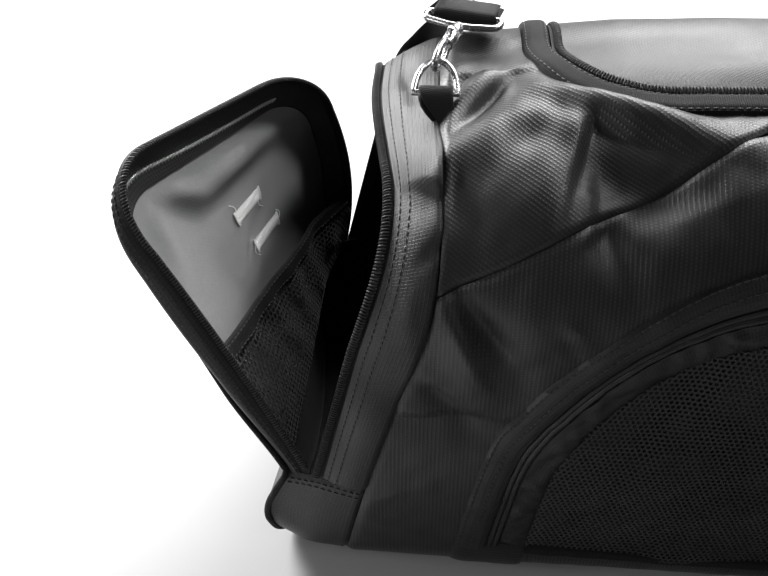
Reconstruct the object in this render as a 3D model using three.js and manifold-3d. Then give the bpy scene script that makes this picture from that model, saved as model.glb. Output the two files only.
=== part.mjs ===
// Sports travel bag standing on its base, with its left end pocket unzipped and the end flap leaning out.
// Millimetres, +Z up. The front faces -Y and the open end faces -X.
// The origin lies on the floor under the middle of the bag.

import * as THREE from "three";
import { mergeVertices } from "three/addons/utils/BufferGeometryUtils.js";
import Module from "manifold-3d";

const wasm = await Module();
wasm.setup();

// Cloth
const WALL = 2;
const GAP = 0.4;
const EDGE_GAP = 1.2;

// Cross-sections of the stuffed body, from the middle to either end.
// flare pushes the back of the top outwards along the bag, and rise lifts the foot off the floor.
const SECTIONS = [
  { x: 0, halfDepth: 131, height: 311, shoulder: 88, foot: 35, bulge: 6, crown: 5, flare: 0, rise: 0 },
  { x: 140, halfDepth: 130, height: 308, shoulder: 88, foot: 35, bulge: 6, crown: 5, flare: 0, rise: 0 },
  { x: 261, halfDepth: 125, height: 299, shoulder: 84, foot: 28, bulge: 5, crown: 4, flare: 0, rise: 0 },
  { x: 296, halfDepth: 120, height: 274, shoulder: 76, foot: 23, bulge: 3, crown: 3, flare: 19, rise: 1 },
  { x: 320, halfDepth: 116, height: 266, shoulder: 68, foot: 27, bulge: 2, crown: 2, flare: 19, rise: 7 },
];
const TAPER = 0.2; // the bag is this much shorter at its shoulders than on the floor
const SHOULDER_HEIGHT = 271;
const FLARE_FROM = 190;
const FLARE_BACK = 42; // from here to the back the flare is full
const FLARE_DRAW = 0.26; // part of the flare by which the front is drawn in
const RISE_TO = 60;

// Main folds of the cloth, the same at both ends: places along the bag and round its girth, half lengths and
// half widths, the height, and turn, the degrees by which a fold rises on its way to the middle of the bag.
const FOLDS = [
  { name: "ridge under the lid", x: 150, girth: 452, length: 60, width: 12, turn: -14, height: 3 },
  { name: "dent under the ridge", x: 130, girth: 428, length: 44, width: 24, turn: -10, height: -9 },
  { name: "bulge beside the dent", x: 200, girth: 408, length: 46, width: 36, turn: 0, height: 4 },
  { name: "crease to the strap ring", x: 237, girth: 477, length: 40, width: 11, turn: 51, height: -4 },
  { name: "hollow at the seam", x: 248, girth: 404, length: 36, width: 15, turn: 90, height: -3 },
  { name: "fold from the seam corner", x: 226, girth: 314, length: 44, width: 13, turn: -55, height: 5 },
  { name: "valley beside that fold", x: 219, girth: 335, length: 36, width: 10, turn: -42, height: -4 },
  { name: "bulge over the pocket", x: 182, girth: 338, length: 36, width: 30, turn: 0, height: 4 },
  { name: "tuck under the bulge", x: 216, girth: 262, length: 52, width: 16, turn: -22, height: -5 },
  { name: "valley under the slanted seam", x: 150, girth: 386, length: 26, width: 11, turn: -55, height: -4 },
];

// Seams of the body, by distance along the bag or round its girth from the middle of the base
const SEAM = 267;
const SEAM_BOW = 11;
const SEAM_BOW_GIRTH = 330;
const SEAM_BOW_WIDTH = 60;
const RIM = 296;
const END = 320;
const BASE_GIRTH = 88;
const CHEVRON_GIRTH = 348;
const CHEVRON_SLOPE = 0.534;
const CHEVRON_TOP = 466;
const BACK_SEAM_GIRTH = 352;
const BAND_PUFF = 3;
const BODY_COLUMNS = 14;

// End flap: a shallow pan hinged at the floor side, twisted towards the back as it leans out
const HINGE_HEIGHT = 87;
const HINGE_DROP = 0.1; // fall of the hinge seam for each millimetre away from the zip
const HINGE_X = -285;
const FLAP = { height: 196, halfWidth: 116, topHalfWidth: 97, corner: 48 };
const PANEL = { height: 170, halfWidth: 115, topHalfWidth: 96, corner: 40 };
const PANEL_DEPTH = 21;
const PANEL_HINGE_DEPTH = 14;
const PANEL_DEPTH_BY = 60;
const PANEL_BELLY = 5;
const HINGE_SHARE = 0.3; // part of the panel's rows that lie below the hinge
const LEAN = THREE.MathUtils.degToRad(8.7);
const LEAN_GAIN = THREE.MathUtils.degToRad(10.9);
const YAW = THREE.MathUtils.degToRad(32.3);
const TILT = THREE.MathUtils.degToRad(-4.3);
const ZIP_WIDTH = 6;
const ZIP_THICKNESS = 2;
const ZIP_SINK = 1;
const RIM_GAP = 1.8;
const FLAP_START = 1.5;
const SLIDER_ROOM = 14;
const PIPING_RADIUS = 2.2;
const PIPING_BEND = 2; // short of the hinge, where the piping bends out to the flap

// Sliders of the three zips
const SLIDER = { width: 8, length: 10, thickness: 5 };
const PULL = { width: 6, length: 24, thickness: 2, rise: 1, overlap: 2 };
const END_SLIDER = { inset: 2, bodyOut: 5, pullOut: 8 };
const SLIDER_LIFT = 3.6;
const POCKET_SLIDER_PART = 0.95;
const LID_SLIDER_PART = 0.62;

// Net pocket inside the flap
const NET_WALL = 1.5;
const NET_CLEARANCE = 3;
const NET_SIDE = 4;
const NET_START = 3.5;
const HEM_NEAR = 80;
const HEM_FAR = 60;
const HEM_WIDTH = 11;
const HEM_WALL = 2.5;

// Front pocket: an arch on the front panel, measured along the bag and round its girth
const POCKET = { halfWidth: 199, bottom: 152, spring: 212, rise: 180 };
const POCKET_BEND = 1.1; // length of the arch's bend for each millimetre of its rise
const POCKET_LAYERS = {
  pocket_band: { from: 0, to: 20, low: 2, high: 4 },
  pocket_zip: { from: 20.4, to: 28.4, low: EDGE_GAP, high: 3 },
  pocket_facing: { from: 28.8, to: 45, low: EDGE_GAP, high: 2.8 },
};
const POCKET_NET_INSET = 45.4;
const TAB_LOW = 130;
const TAB_INNER = 150;
const TAB_THICKNESS = 3;

// Lid in the top of the bag: three zipped sides and a sewn back edge
const LID = { halfLength: 168, front: -44, back: 95, corner: 80 };
const LID_HOLE = 15;
const LID_LAYERS = {
  lid_band: { from: 0, to: 17, low: EDGE_GAP, high: 4.6 },
  lid_zip: { from: 17.4, to: 26, low: -1, high: 1.6 },
};
const LID_INSET = 26.4;
const LID_PUFF = 6;
const LID_LIFT = 1;
const LID_BIAS = 0.4; // how much closer the lid's rows lie near its front
const LID_CUT = { low: 215, height: 271 };

// Carrying hardware on the top of each body seam
const HARDWARE_X = 217;
const HARDWARE_LIFT = 12;
const TAB_BACK = -42;
const BAR_Y = -24;
const TAB_WIDTH = 18;
const WIRE = 2;
const RING_WIDTH = 24;
const RING_LENGTH = 22;
const RING_RISE = 8;
const HOOK_SWING = THREE.MathUtils.degToRad(15);
const HOOK_LOOP = { halfLength: 13, halfHeight: 6 };
const HOOK_BODY = { radius: 4.5, length: 26 };
const EYE = { halfWidth: 23, length: 14, neck: 6, shoulder: 4 };
const STRAP_WIDTH = 38;
const STRAP_THICKNESS = 2;
const FOLD_BACK = 22;
const FOLD_OUT = 12;
const TURN_SCALE = 0.001; // the girth is about a metre, so a thousandth of a turn is about a millimetre

// Route of the shoulder strap over the back of the bag, to its lowest point in the middle.
// turn is the part of the girth gone round from the middle of the base, by way of the front,
// and lift is the height of the strap's middle above the cloth.
const STRAP_ROUTE = [
  { x: -260, turn: 0.578, lift: 15 },
  { x: -270, turn: 0.602, lift: 9 },
  { x: -276, turn: 0.64, lift: 7 },
  { x: -268, turn: 0.68, lift: 7 },
  { x: -250, turn: 0.72, lift: 7 },
  { x: -222, turn: 0.76, lift: 7 },
  { x: -180, turn: 0.795, lift: 7 },
  { x: -124, turn: 0.822, lift: 7 },
  { x: -62, turn: 0.838, lift: 7 },
  { x: 0, turn: 0.843, lift: 7 },
];

const FINISHES = {
  cloth: { color: 0x1d1d1f, roughness: 0.62, metalness: 0 },
  coated: { color: 0x8a8b8c, roughness: 0.5, metalness: 0 },
  net: { color: 0x2a2a2b, roughness: 0.8, metalness: 0 },
  zip: { color: 0x343436, roughness: 0.4, metalness: 0 },
  webbing: { color: 0x151516, roughness: 0.75, metalness: 0 },
  metal: { color: 0xc9cacc, roughness: 0.25, metalness: 1 },
};

const { lerp, smoothstep, clamp } = THREE.MathUtils;
const vector = (x, y, z) => new THREE.Vector3(x, y, z);

function fractions(count) {
  return Array.from({ length: count + 1 }, (_, step) => step / count);
}

// Body surface

function sectionAt(x) {
  const along = clamp(Math.abs(x), 0, END);
  const next = Math.max(1, SECTIONS.findIndex((row) => row.x >= along));
  const [low, high] = [SECTIONS[next - 1], SECTIONS[next]];
  const part = (along - low.x) / (high.x - low.x);
  const blended = {};
  for (const name of Object.keys(low)) {
    blended[name] = lerp(low[name], high[name], part);
  }
  return blended;
}

// Lengths of the stretches from the middle of the base to the middle of the top.
function stretches(section) {
  return {
    base: section.halfDepth - section.foot,
    footArc: (section.foot * Math.PI) / 2,
    side: section.height - section.shoulder - section.foot,
    shoulderArc: (section.shoulder * Math.PI) / 2,
    top: section.halfDepth - section.shoulder,
  };
}

function halfGirth(section) {
  return Object.values(stretches(section)).reduce((sum, length) => sum + length, 0);
}

function girthAtHeight(section, height) {
  const { base, footArc } = stretches(section);
  return base + footArc + height - section.foot;
}

// Point and outward direction on the front half of a section, as distances out from the middle and up.
function halfOutline(section, girth) {
  const { base, footArc, side, shoulderArc, top } = stretches(section);
  let run = girth;
  if (run <= base) {
    return { out: run, up: 0, outward: 0, upward: -1 };
  }
  run -= base;
  if (run <= footArc) {
    const angle = run / section.foot;
    const [outward, upward] = [Math.sin(angle), -Math.cos(angle)];
    return { out: base + section.foot * outward, up: section.foot * (1 + upward), outward, upward };
  }
  run -= footArc;
  if (run <= side) {
    const beyond = section.bulge * Math.sin((Math.PI * run) / side);
    return { out: section.halfDepth + beyond, up: section.foot + run, outward: 1, upward: 0 };
  }
  run -= side;
  if (run <= shoulderArc) {
    const angle = run / section.shoulder;
    const [outward, upward] = [Math.cos(angle), Math.sin(angle)];
    const up = section.height - section.shoulder * (1 - upward);
    return { out: top + section.shoulder * outward, up, outward, upward };
  }
  run = Math.min(run - shoulderArc, top);
  const up = section.height + section.crown * Math.sin((Math.PI / 2) * (run / top));
  return { out: top - run, up, outward: 0, upward: 1 };
}

// Height of the folds above the smooth body. Girth is measured up the front.
function foldHeight(x, girth) {
  let height = 0;
  for (const fold of FOLDS) {
    const turn = THREE.MathUtils.degToRad(fold.turn);
    const [inward, round] = [fold.x - Math.abs(x), girth - fold.girth];
    const along = (inward * Math.cos(turn) + round * Math.sin(turn)) / fold.length;
    const aside = (round * Math.cos(turn) - inward * Math.sin(turn)) / fold.width;
    height += fold.height * Math.exp(-along * along - aside * aside);
  }
  return height;
}

// Place along the bag of a section's point: shorter at the shoulders, drawn in at the front of the top and
// flared at the back.
function alongAt(x, y, up) {
  const { flare, halfDepth } = sectionAt(x);
  const pushed = smoothstep(y, -halfDepth, FLARE_BACK) - FLARE_DRAW;
  const flared = flare * smoothstep(up, FLARE_FROM, SHOULDER_HEIGHT) * pushed;
  return x * (1 - TAPER * Math.min(up / SHOULDER_HEIGHT, 1)) + Math.sign(x) * flared;
}

// Girth runs from the middle of the base up the front, over the top and down the back.
// A negative girth runs up the back instead.
function bodyPoint(x, girth, lift = 0) {
  const section = sectionAt(x);
  const half = halfGirth(section);
  const onBack = girth < 0 || girth > half;
  const run = girth > half ? 2 * half - girth : Math.abs(girth);
  const { out, up, outward, upward } = halfOutline(section, run);
  const sign = onBack ? 1 : -1;
  const raised = lift + (onBack ? 0 : foldHeight(x, run));
  const z = up + section.rise * Math.max(0, 1 - up / RISE_TO);
  return vector(alongAt(x, sign * out, up), sign * (out + outward * raised), z + upward * raised);
}

// Point on the top of the bag from its place in plan.
function topPoint(x, y, lift) {
  const section = sectionAt(x / (1 - TAPER));
  const flat = section.halfDepth - section.shoulder;
  const beyond = Math.abs(y) - flat;
  const up = beyond > 0
    ? section.height - section.shoulder + Math.sqrt(section.shoulder ** 2 - beyond ** 2)
    : section.height + section.crown * Math.sin((Math.PI / 2) * (-beyond / flat));
  return vector(x, y, up + lift);
}

function seamAt(girth) {
  const half = halfGirth(sectionAt(SEAM));
  const run = girth > half ? 2 * half - girth : Math.abs(girth);
  return SEAM - SEAM_BOW * Math.exp(-(((run - SEAM_BOW_GIRTH) / SEAM_BOW_WIDTH) ** 2));
}

function chevronAt(x) {
  return Math.min(CHEVRON_TOP, CHEVRON_GIRTH + CHEVRON_SLOPE * (SEAM - Math.abs(x)));
}

function hingeHeight(x) {
  return HINGE_HEIGHT - HINGE_DROP * Math.abs(Math.abs(x) - RIM);
}

// Flap surface

function flapPoint(u, v, depth) {
  const part = v / FLAP.height;
  const lean = LEAN + LEAN_GAIN * part;
  const yaw = YAW * part;
  const tilt = TILT * part;
  const across = vector(Math.sin(yaw) * Math.cos(tilt), Math.cos(yaw) * Math.cos(tilt), Math.sin(tilt));
  const up = vector(-Math.sin(lean), 0, Math.cos(lean));
  const outward = vector().crossVectors(up, across).normalize();
  return vector(HINGE_X, 0, HINGE_HEIGHT)
    .addScaledVector(up, v)
    .addScaledVector(across, u)
    .addScaledVector(outward, depth);
}

// Outline of the flap's rim or panel from the front hinge over the top to the back hinge, drawn in by inset.
function flapOutline(shape, part, inset) {
  const side = shape.height - shape.corner;
  const arc = (shape.corner * Math.PI) / 2;
  const top = shape.topHalfWidth - shape.corner;
  const onFront = part <= 0.5;
  const run = 2 * (side + arc + top) * (onFront ? part : 1 - part);
  const sign = onFront ? -1 : 1;
  if (run <= side) {
    return { u: sign * (lerp(shape.halfWidth, shape.topHalfWidth, run / side) - inset), v: run };
  }
  if (run <= side + arc) {
    const angle = (run - side) / shape.corner;
    const radius = shape.corner - inset;
    return { u: sign * (top + radius * Math.cos(angle)), v: side + radius * Math.sin(angle) };
  }
  return { u: sign * (side + arc + top - run), v: shape.height - inset };
}

function outlineLength(shape) {
  return 2 * (shape.height - shape.corner + (shape.corner * Math.PI) / 2 + shape.topHalfWidth - shape.corner);
}

function panelDepth(v) {
  return lerp(PANEL_HINGE_DEPTH, PANEL_DEPTH, smoothstep(v, 0, PANEL_DEPTH_BY));
}

function panelHalfWidth(v) {
  const side = PANEL.height - PANEL.corner;
  if (v <= side) {
    return lerp(PANEL.halfWidth, PANEL.topHalfWidth, v / side);
  }
  return PANEL.topHalfWidth - PANEL.corner + Math.sqrt(Math.max(0, PANEL.corner ** 2 - (v - side) ** 2));
}

// Solids

// Geometry of a closed surface with its faces turned outwards.
function closedGeometry(points, faces) {
  let volume = 0;
  for (const [a, b, c] of faces) {
    volume += points[a].dot(vector().crossVectors(points[b], points[c]));
  }
  const turned = volume > 0 ? faces : faces.map(([a, b, c]) => [a, c, b]);
  const geometry = new THREE.BufferGeometry();
  geometry.setAttribute("position", new THREE.Float32BufferAttribute(points.flatMap((p) => p.toArray()), 3));
  geometry.setIndex(turned.flat());
  return geometry;
}

// Solid through a row of rings with equal counts of points. Open ends are closed by joining opposite points.
function loft(rings, isLoop = false) {
  const size = rings[0].length;
  const faces = [];
  const spans = isLoop ? rings.length : rings.length - 1;
  for (let span = 0; span < spans; span += 1) {
    const here = span * size;
    const next = ((span + 1) % rings.length) * size;
    for (let k = 0; k < size; k += 1) {
      const after = (k + 1) % size;
      faces.push([here + k, next + k, next + after], [here + k, next + after, here + after]);
    }
  }
  if (!isLoop) {
    const last = (rings.length - 1) * size;
    for (let a = 0; a < size / 2 - 1; a += 1) {
      const [b, c, d] = [a + 1, size - 2 - a, size - 1 - a];
      faces.push([a, b, c], [a, c, d]);
      faces.push([last + a, last + c, last + b], [last + a, last + d, last + c]);
    }
  }
  return closedGeometry(rings.flat(), faces);
}

// Thin solid between two faces, where place(s, t, face) gives the points of face 0 and face 1.
function sheet(columns, rows, place, isLoop = false) {
  const steps = isLoop ? fractions(columns).slice(0, -1) : fractions(columns);
  const rings = steps.map((s) => [
    ...fractions(rows).map((t) => place(s, t, 0)),
    ...fractions(rows).reverse().map((t) => place(s, t, 1)),
  ]);
  return loft(rings, isLoop);
}

// Round wire along a path. The axis is any direction that the path never follows.
function wire(path, radius, sides, axis, isLoop = false) {
  const rings = path.map((point, k) => {
    const before = isLoop ? path.at(k - 1) : path[Math.max(k - 1, 0)];
    const after = isLoop ? path[(k + 1) % path.length] : path[Math.min(k + 1, path.length - 1)];
    const tangent = vector().subVectors(after, before).normalize();
    const across = vector().crossVectors(axis, tangent).normalize();
    const up = vector().crossVectors(tangent, across);
    return fractions(sides).slice(0, -1).map((part) => point.clone()
      .addScaledVector(across, radius * Math.cos(2 * Math.PI * part))
      .addScaledVector(up, radius * Math.sin(2 * Math.PI * part)));
  });
  return loft(rings, isLoop);
}

// Flat band along a path whose rows give each point and the direction of the band's width.
function ribbon(rows, width, thickness) {
  const rings = rows.map(({ point, across }, k) => {
    const before = rows[Math.max(k - 1, 0)].point;
    const after = rows[Math.min(k + 1, rows.length - 1)].point;
    const tangent = vector().subVectors(after, before).normalize();
    const side = across.clone().addScaledVector(tangent, -across.dot(tangent)).setLength(width / 2);
    const face = vector().crossVectors(side, tangent).setLength(thickness / 2);
    return [
      point.clone().add(side).add(face),
      point.clone().sub(side).add(face),
      point.clone().sub(side).sub(face),
      point.clone().add(side).sub(face),
    ];
  });
  return loft(rings);
}

// Geometry of a three.js shape with its corners shared between faces.
function merged(geometry) {
  geometry.deleteAttribute("normal");
  geometry.deleteAttribute("uv");
  return mergeVertices(geometry);
}

function toSolid(geometry) {
  const vertProperties = new Float32Array(geometry.attributes.position.array);
  const triVerts = new Uint32Array(geometry.index.array);
  return new wasm.Manifold(new wasm.Mesh({ numProp: 3, vertProperties, triVerts }));
}

function toGeometry(solid) {
  const { vertProperties, triVerts } = solid.getMesh();
  const geometry = new THREE.BufferGeometry();
  geometry.setAttribute("position", new THREE.BufferAttribute(vertProperties, 3));
  geometry.setIndex(new THREE.BufferAttribute(triVerts, 1));
  return geometry;
}

function fuse(geometries) {
  return toGeometry(geometries.map(toSolid).reduce((whole, next) => whole.add(next)));
}

// Body panels

function bodyPanel(rows, lowGirth, highGirth) {
  return sheet(BODY_COLUMNS, rows, (s, t, face) => {
    const along = 2 * s - 1;
    const nearGirth = lerp(lowGirth(along * SEAM), highGirth(along * SEAM), t);
    const x = along * (seamAt(nearGirth) - GAP);
    return bodyPoint(x, lerp(lowGirth(x), highGirth(x), t), -face * WALL);
  });
}

function basePanel() {
  return bodyPanel(2, () => -BASE_GIRTH, () => BASE_GIRTH);
}

function frontPanel() {
  return bodyPanel(12, () => BASE_GIRTH + GAP, (x) => chevronAt(x) - GAP / 2);
}

function backPanel() {
  return bodyPanel(12, () => -(BACK_SEAM_GIRTH - GAP), () => -(BASE_GIRTH + GAP));
}

function upperPanel() {
  const overTop = (x) => 2 * halfGirth(sectionAt(x)) - BACK_SEAM_GIRTH;
  const whole = bodyPanel(14, (x) => chevronAt(x) + GAP / 2, overTop);
  const outline = fractions(36).map((part) => lidOutline(part, LID_HOLE));
  const shape = new THREE.Shape(outline.map(({ x, y }) => new THREE.Vector2(x, y)));
  const hole = merged(new THREE.ExtrudeGeometry(shape, { depth: LID_CUT.height, bevelEnabled: false }));
  hole.translate(0, 0, LID_CUT.low);
  return toGeometry(toSolid(whole).subtract(toSolid(hole)));
}

// Left end

function endBand() {
  const seamSection = sectionAt(SEAM);
  const seamLow = girthAtHeight(seamSection, hingeHeight(SEAM));
  return sheet(28, 3, (s, t, face) => {
    const seamGirth = lerp(seamLow, 2 * halfGirth(seamSection) - seamLow, s);
    const x = lerp(RIM, seamAt(seamGirth) + GAP, t);
    const section = sectionAt(x);
    const low = girthAtHeight(section, hingeHeight(x) + GAP);
    const girth = lerp(low, 2 * halfGirth(section) - low, s);
    return bodyPoint(-x, girth, BAND_PUFF * Math.sin(Math.PI * t) - face * WALL);
  });
}

function hingeGusset() {
  const seamHigh = girthAtHeight(sectionAt(SEAM), hingeHeight(SEAM));
  return sheet(18, 3, (s, t, face) => {
    const x = lerp(END - EDGE_GAP, seamAt(lerp(-seamHigh, seamHigh, s)) + GAP, t);
    const high = girthAtHeight(sectionAt(x), hingeHeight(x));
    return bodyPoint(-x, lerp(-high, high, s), -face * WALL);
  });
}

function endPanel() {
  const section = sectionAt(END);
  const lowest = section.halfDepth - section.foot;
  const highest = girthAtHeight(section, hingeHeight(END) - GAP);
  return sheet(20, 8, (s, t, face) => {
    if (s < HINGE_SHARE) {
      const edge = bodyPoint(-END, lerp(lowest, highest, s / HINGE_SHARE));
      return vector(edge.x - face * WALL, lerp(edge.y, -edge.y, t), edge.z);
    }
    const v = lerp(FLAP_START, PANEL.height, (s - HINGE_SHARE) / (1 - HINGE_SHARE));
    const u = lerp(-panelHalfWidth(v), panelHalfWidth(v), t);
    const belly = PANEL_BELLY * Math.sin(Math.PI * t) * Math.sin((Math.PI * v) / PANEL.height);
    return flapPoint(u, v, panelDepth(v) + belly + face * WALL);
  });
}

// Stretch of the flap's outline that a strip covers, leaving room for the slider at the back hinge.
function stripPart(shape, s, endRoom) {
  const length = outlineLength(shape);
  return lerp(FLAP_START / length, 1 - endRoom / length, s);
}

function flapGusset() {
  return sheet(40, 2, (s, t, face) => {
    const rim = flapOutline(FLAP, stripPart(FLAP, s, FLAP_START), face * WALL);
    const edge = flapOutline(PANEL, stripPart(PANEL, s, FLAP_START), face * WALL);
    const rimPoint = flapPoint(rim.u, rim.v, ZIP_WIDTH + GAP);
    return rimPoint.lerp(flapPoint(edge.u, edge.v, panelDepth(edge.v) - GAP), t);
  });
}

function flapZip() {
  return sheet(40, 1, (s, t, face) => {
    const { u, v } = flapOutline(FLAP, stripPart(FLAP, s, SLIDER_ROOM), face * ZIP_THICKNESS);
    return flapPoint(u, v, t * ZIP_WIDTH);
  });
}

function rimZip() {
  return sheet(30, 1, (s, t, face) => {
    const x = RIM + RIM_GAP + t * ZIP_WIDTH;
    const section = sectionAt(x);
    const low = girthAtHeight(section, HINGE_HEIGHT + FLAP_START);
    const high = 2 * halfGirth(section) - girthAtHeight(section, HINGE_HEIGHT + SLIDER_ROOM);
    return bodyPoint(-x, lerp(low, high, s), (1 - face) * ZIP_THICKNESS - ZIP_SINK);
  });
}

function endSlider() {
  const x = HINGE_X - END_SLIDER.inset;
  const body = new THREE.BoxGeometry(SLIDER.width, SLIDER.thickness, SLIDER.length);
  const pull = new THREE.BoxGeometry(PULL.width, PULL.thickness, PULL.length);
  body.translate(x, FLAP.halfWidth + END_SLIDER.bodyOut, HINGE_HEIGHT + SLIDER_ROOM / 2);
  pull.translate(x, FLAP.halfWidth + END_SLIDER.pullOut, HINGE_HEIGHT - PULL.length / 4);
  return fuse([merged(body), merged(pull)]);
}

// Piping round the edge of the end panel: along the foot, up the front, over the flap and down the back.
function endPiping() {
  const outset = PIPING_RADIUS + EDGE_GAP;
  const section = sectionAt(END);
  const low = section.halfDepth - section.foot;
  const high = girthAtHeight(section, hingeHeight(END) - PIPING_BEND);
  const girths = [0, ...fractions(8).map((part) => lerp(low, high, part))];
  const front = girths.map((girth) => bodyPoint(-END - WALL / 2, girth, outset));
  const back = girths.slice(1).reverse().map((girth) => bodyPoint(-END - WALL / 2, -girth, outset));
  const flap = fractions(36).map((part) => {
    const { u, v } = flapOutline(PANEL, stripPart(PANEL, part, 2 * FLAP_START), -outset);
    return flapPoint(u, v, panelDepth(v) + WALL / 2);
  });
  return wire([...front, ...flap, ...back], PIPING_RADIUS, 6, vector(1, 0, 0), true);
}

function hemAt(u) {
  return lerp(HEM_NEAR, HEM_FAR, (u + PANEL.halfWidth) / (2 * PANEL.halfWidth));
}

function flapNet(columns, rows, bottom, top, wall) {
  return sheet(columns, rows, (s, t, face) => {
    const u = (2 * s - 1) * (PANEL.halfWidth - NET_SIDE);
    const v = lerp(bottom(u), top(u), t);
    const narrowed = u * (panelHalfWidth(v) - NET_SIDE) / (PANEL.halfWidth - NET_SIDE);
    return flapPoint(narrowed, v, panelDepth(v) - NET_CLEARANCE - face * wall);
  });
}

function meshPocket() {
  return flapNet(10, 8, () => NET_START, (u) => hemAt(u) - HEM_WIDTH - GAP, NET_WALL);
}

function meshHem() {
  return flapNet(12, 1, (u) => hemAt(u) - HEM_WIDTH, hemAt, HEM_WALL);
}

// Right end, closed

function rightBand() {
  const seamGirth = 2 * halfGirth(sectionAt(SEAM));
  return sheet(32, 3, (s, t, face) => {
    const x = lerp(seamAt(s * seamGirth) + GAP, END - EDGE_GAP, t);
    const girth = s * 2 * halfGirth(sectionAt(x));
    return bodyPoint(x, girth, -face * WALL);
  }, true);
}

function rightPanel() {
  const section = sectionAt(END);
  const low = section.halfDepth - section.foot;
  const high = halfGirth(section) - (section.halfDepth - section.shoulder);
  return sheet(14, 6, (s, t, face) => {
    const girth = lerp(low, high, s);
    const edge = bodyPoint(END, girth);
    const y = lerp(edge.y, -edge.y, t);
    const belly = PANEL_BELLY * Math.sin(Math.PI * t) * Math.sin(Math.PI * s);
    const { up } = halfOutline(section, girth);
    return vector(alongAt(END, y, up) + belly + face * WALL, y, edge.z);
  });
}

function rightPiping() {
  const girth = 2 * halfGirth(sectionAt(END));
  const path = fractions(48).slice(0, -1)
    .map((part) => bodyPoint(END + WALL / 2, part * girth, PIPING_RADIUS + RIM_GAP));
  return wire(path, PIPING_RADIUS, 6, vector(1, 0, 0), true);
}

// Front pocket

// Arch of the pocket from its left foot to its right foot, drawn in by inset.
function pocketArch(part, inset) {
  const straight = POCKET.spring - POCKET.bottom;
  const bend = POCKET_BEND * POCKET.rise;
  const half = straight + bend;
  const onLeft = part <= 0.5;
  const run = 2 * half * (onLeft ? part : 1 - part);
  const sign = onLeft ? -1 : 1;
  const width = POCKET.halfWidth - inset;
  if (run <= straight) {
    return { x: sign * width, girth: POCKET.bottom + run };
  }
  const angle = ((run - straight) / bend) * (Math.PI / 2);
  const height = (POCKET.rise - inset) * Math.sin(angle);
  return { x: sign * width * Math.cos(angle), girth: POCKET.spring + height };
}

function pocketStrip({ from, to, low, high }) {
  return sheet(36, 2, (s, t, face) => {
    const { x, girth } = pocketArch(s, lerp(from, to, t));
    return bodyPoint(x, girth, face === 0 ? high : low);
  });
}

function pocketNet() {
  const width = POCKET.halfWidth - POCKET_NET_INSET;
  const rise = POCKET.rise - POCKET_NET_INSET;
  return sheet(14, 7, (s, t, face) => {
    const x = -width * Math.cos(Math.PI * s);
    const girth = lerp(POCKET.bottom, POCKET.spring + rise * Math.sin(Math.PI * s), t);
    return bodyPoint(x, girth, face === 0 ? NET_WALL + GAP : GAP);
  });
}

function pocketTab(sign) {
  return sheet(2, 3, (s, t, face) => {
    const x = lerp(TAB_INNER, POCKET.halfWidth, s);
    return bodyPoint(sign * x, lerp(TAB_LOW, POCKET.bottom - GAP, t), face === 0 ? TAB_THICKNESS : GAP);
  });
}

// Lid

// U-shaped outline of the lid's zip in plan, from the back left by way of the front, drawn in by inset.
function lidOutline(part, inset) {
  const side = LID.back - LID.front - LID.corner;
  const arc = (LID.corner * Math.PI) / 2;
  const front = LID.halfLength - LID.corner;
  const onLeft = part <= 0.5;
  const run = 2 * (side + arc + front) * (onLeft ? part : 1 - part);
  const sign = onLeft ? -1 : 1;
  const radius = LID.corner - inset;
  if (run <= side) {
    return { x: sign * (LID.halfLength - inset), y: LID.back - run };
  }
  if (run <= side + arc) {
    const angle = (run - side) / LID.corner;
    const x = sign * (front + radius * Math.cos(angle));
    return { x, y: LID.front + LID.corner - radius * Math.sin(angle) };
  }
  return { x: sign * (side + arc + front - run), y: LID.front + inset };
}

function lidStrip({ from, to, low, high }) {
  return sheet(32, 1, (s, t, face) => {
    const { x, y } = lidOutline(s, lerp(from, to, t));
    return topPoint(x, y, face === 0 ? high : low);
  });
}

function lidPanel() {
  const front = LID.front + LID_INSET;
  const radius = LID.corner - LID_INSET;
  const straight = LID.halfLength - LID.corner;
  return sheet(8, 10, (s, t, face) => {
    const y = lerp(front, LID.back - GAP, s * s * LID_BIAS + s * (1 - LID_BIAS));
    const before = Math.max(0, front + radius - y);
    const halfLength = straight + Math.sqrt(Math.max(0, radius ** 2 - before ** 2));
    const puff = LID_PUFF * Math.sin(Math.PI * t) * Math.sin(Math.PI * s);
    return topPoint(lerp(-halfLength, halfLength, t), y, puff + LID_LIFT - face * WALL);
  });
}

// Slider on a strip of zip, with its pull lying along the cloth.
// The place gives points from steps along and across.
function slider(place) {
  const block = ({ width, length, thickness }, start, low) => sheet(1, 1, (s, t, face) => (
    place(start + length * s, width * (t - 0.5), low + face * thickness)));
  return fuse([
    block(SLIDER, 0, SLIDER_LIFT),
    block(PULL, SLIDER.length - PULL.overlap, SLIDER_LIFT + PULL.rise),
  ]);
}

function pocketSlider() {
  const { from, to } = POCKET_LAYERS.pocket_zip;
  const { x, girth } = pocketArch(POCKET_SLIDER_PART, (from + to) / 2);
  return slider((along, across, lift) => bodyPoint(x + across, girth - along, lift));
}

function lidSlider() {
  const { from, to } = LID_LAYERS.lid_zip;
  const { x, y } = lidOutline(LID_SLIDER_PART, (from + to) / 2);
  return slider((along, across, lift) => topPoint(x + along, y + across, lift));
}

// Carrying hardware

// Point above the top of one body seam. The sign picks the end, and side runs towards the middle of the bag.
function hardwarePoint(sign, side, y, lift) {
  const place = topPoint(HARDWARE_X, BAR_Y, HARDWARE_LIFT);
  return vector(sign * (HARDWARE_X - side), y, place.z + lift);
}

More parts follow.
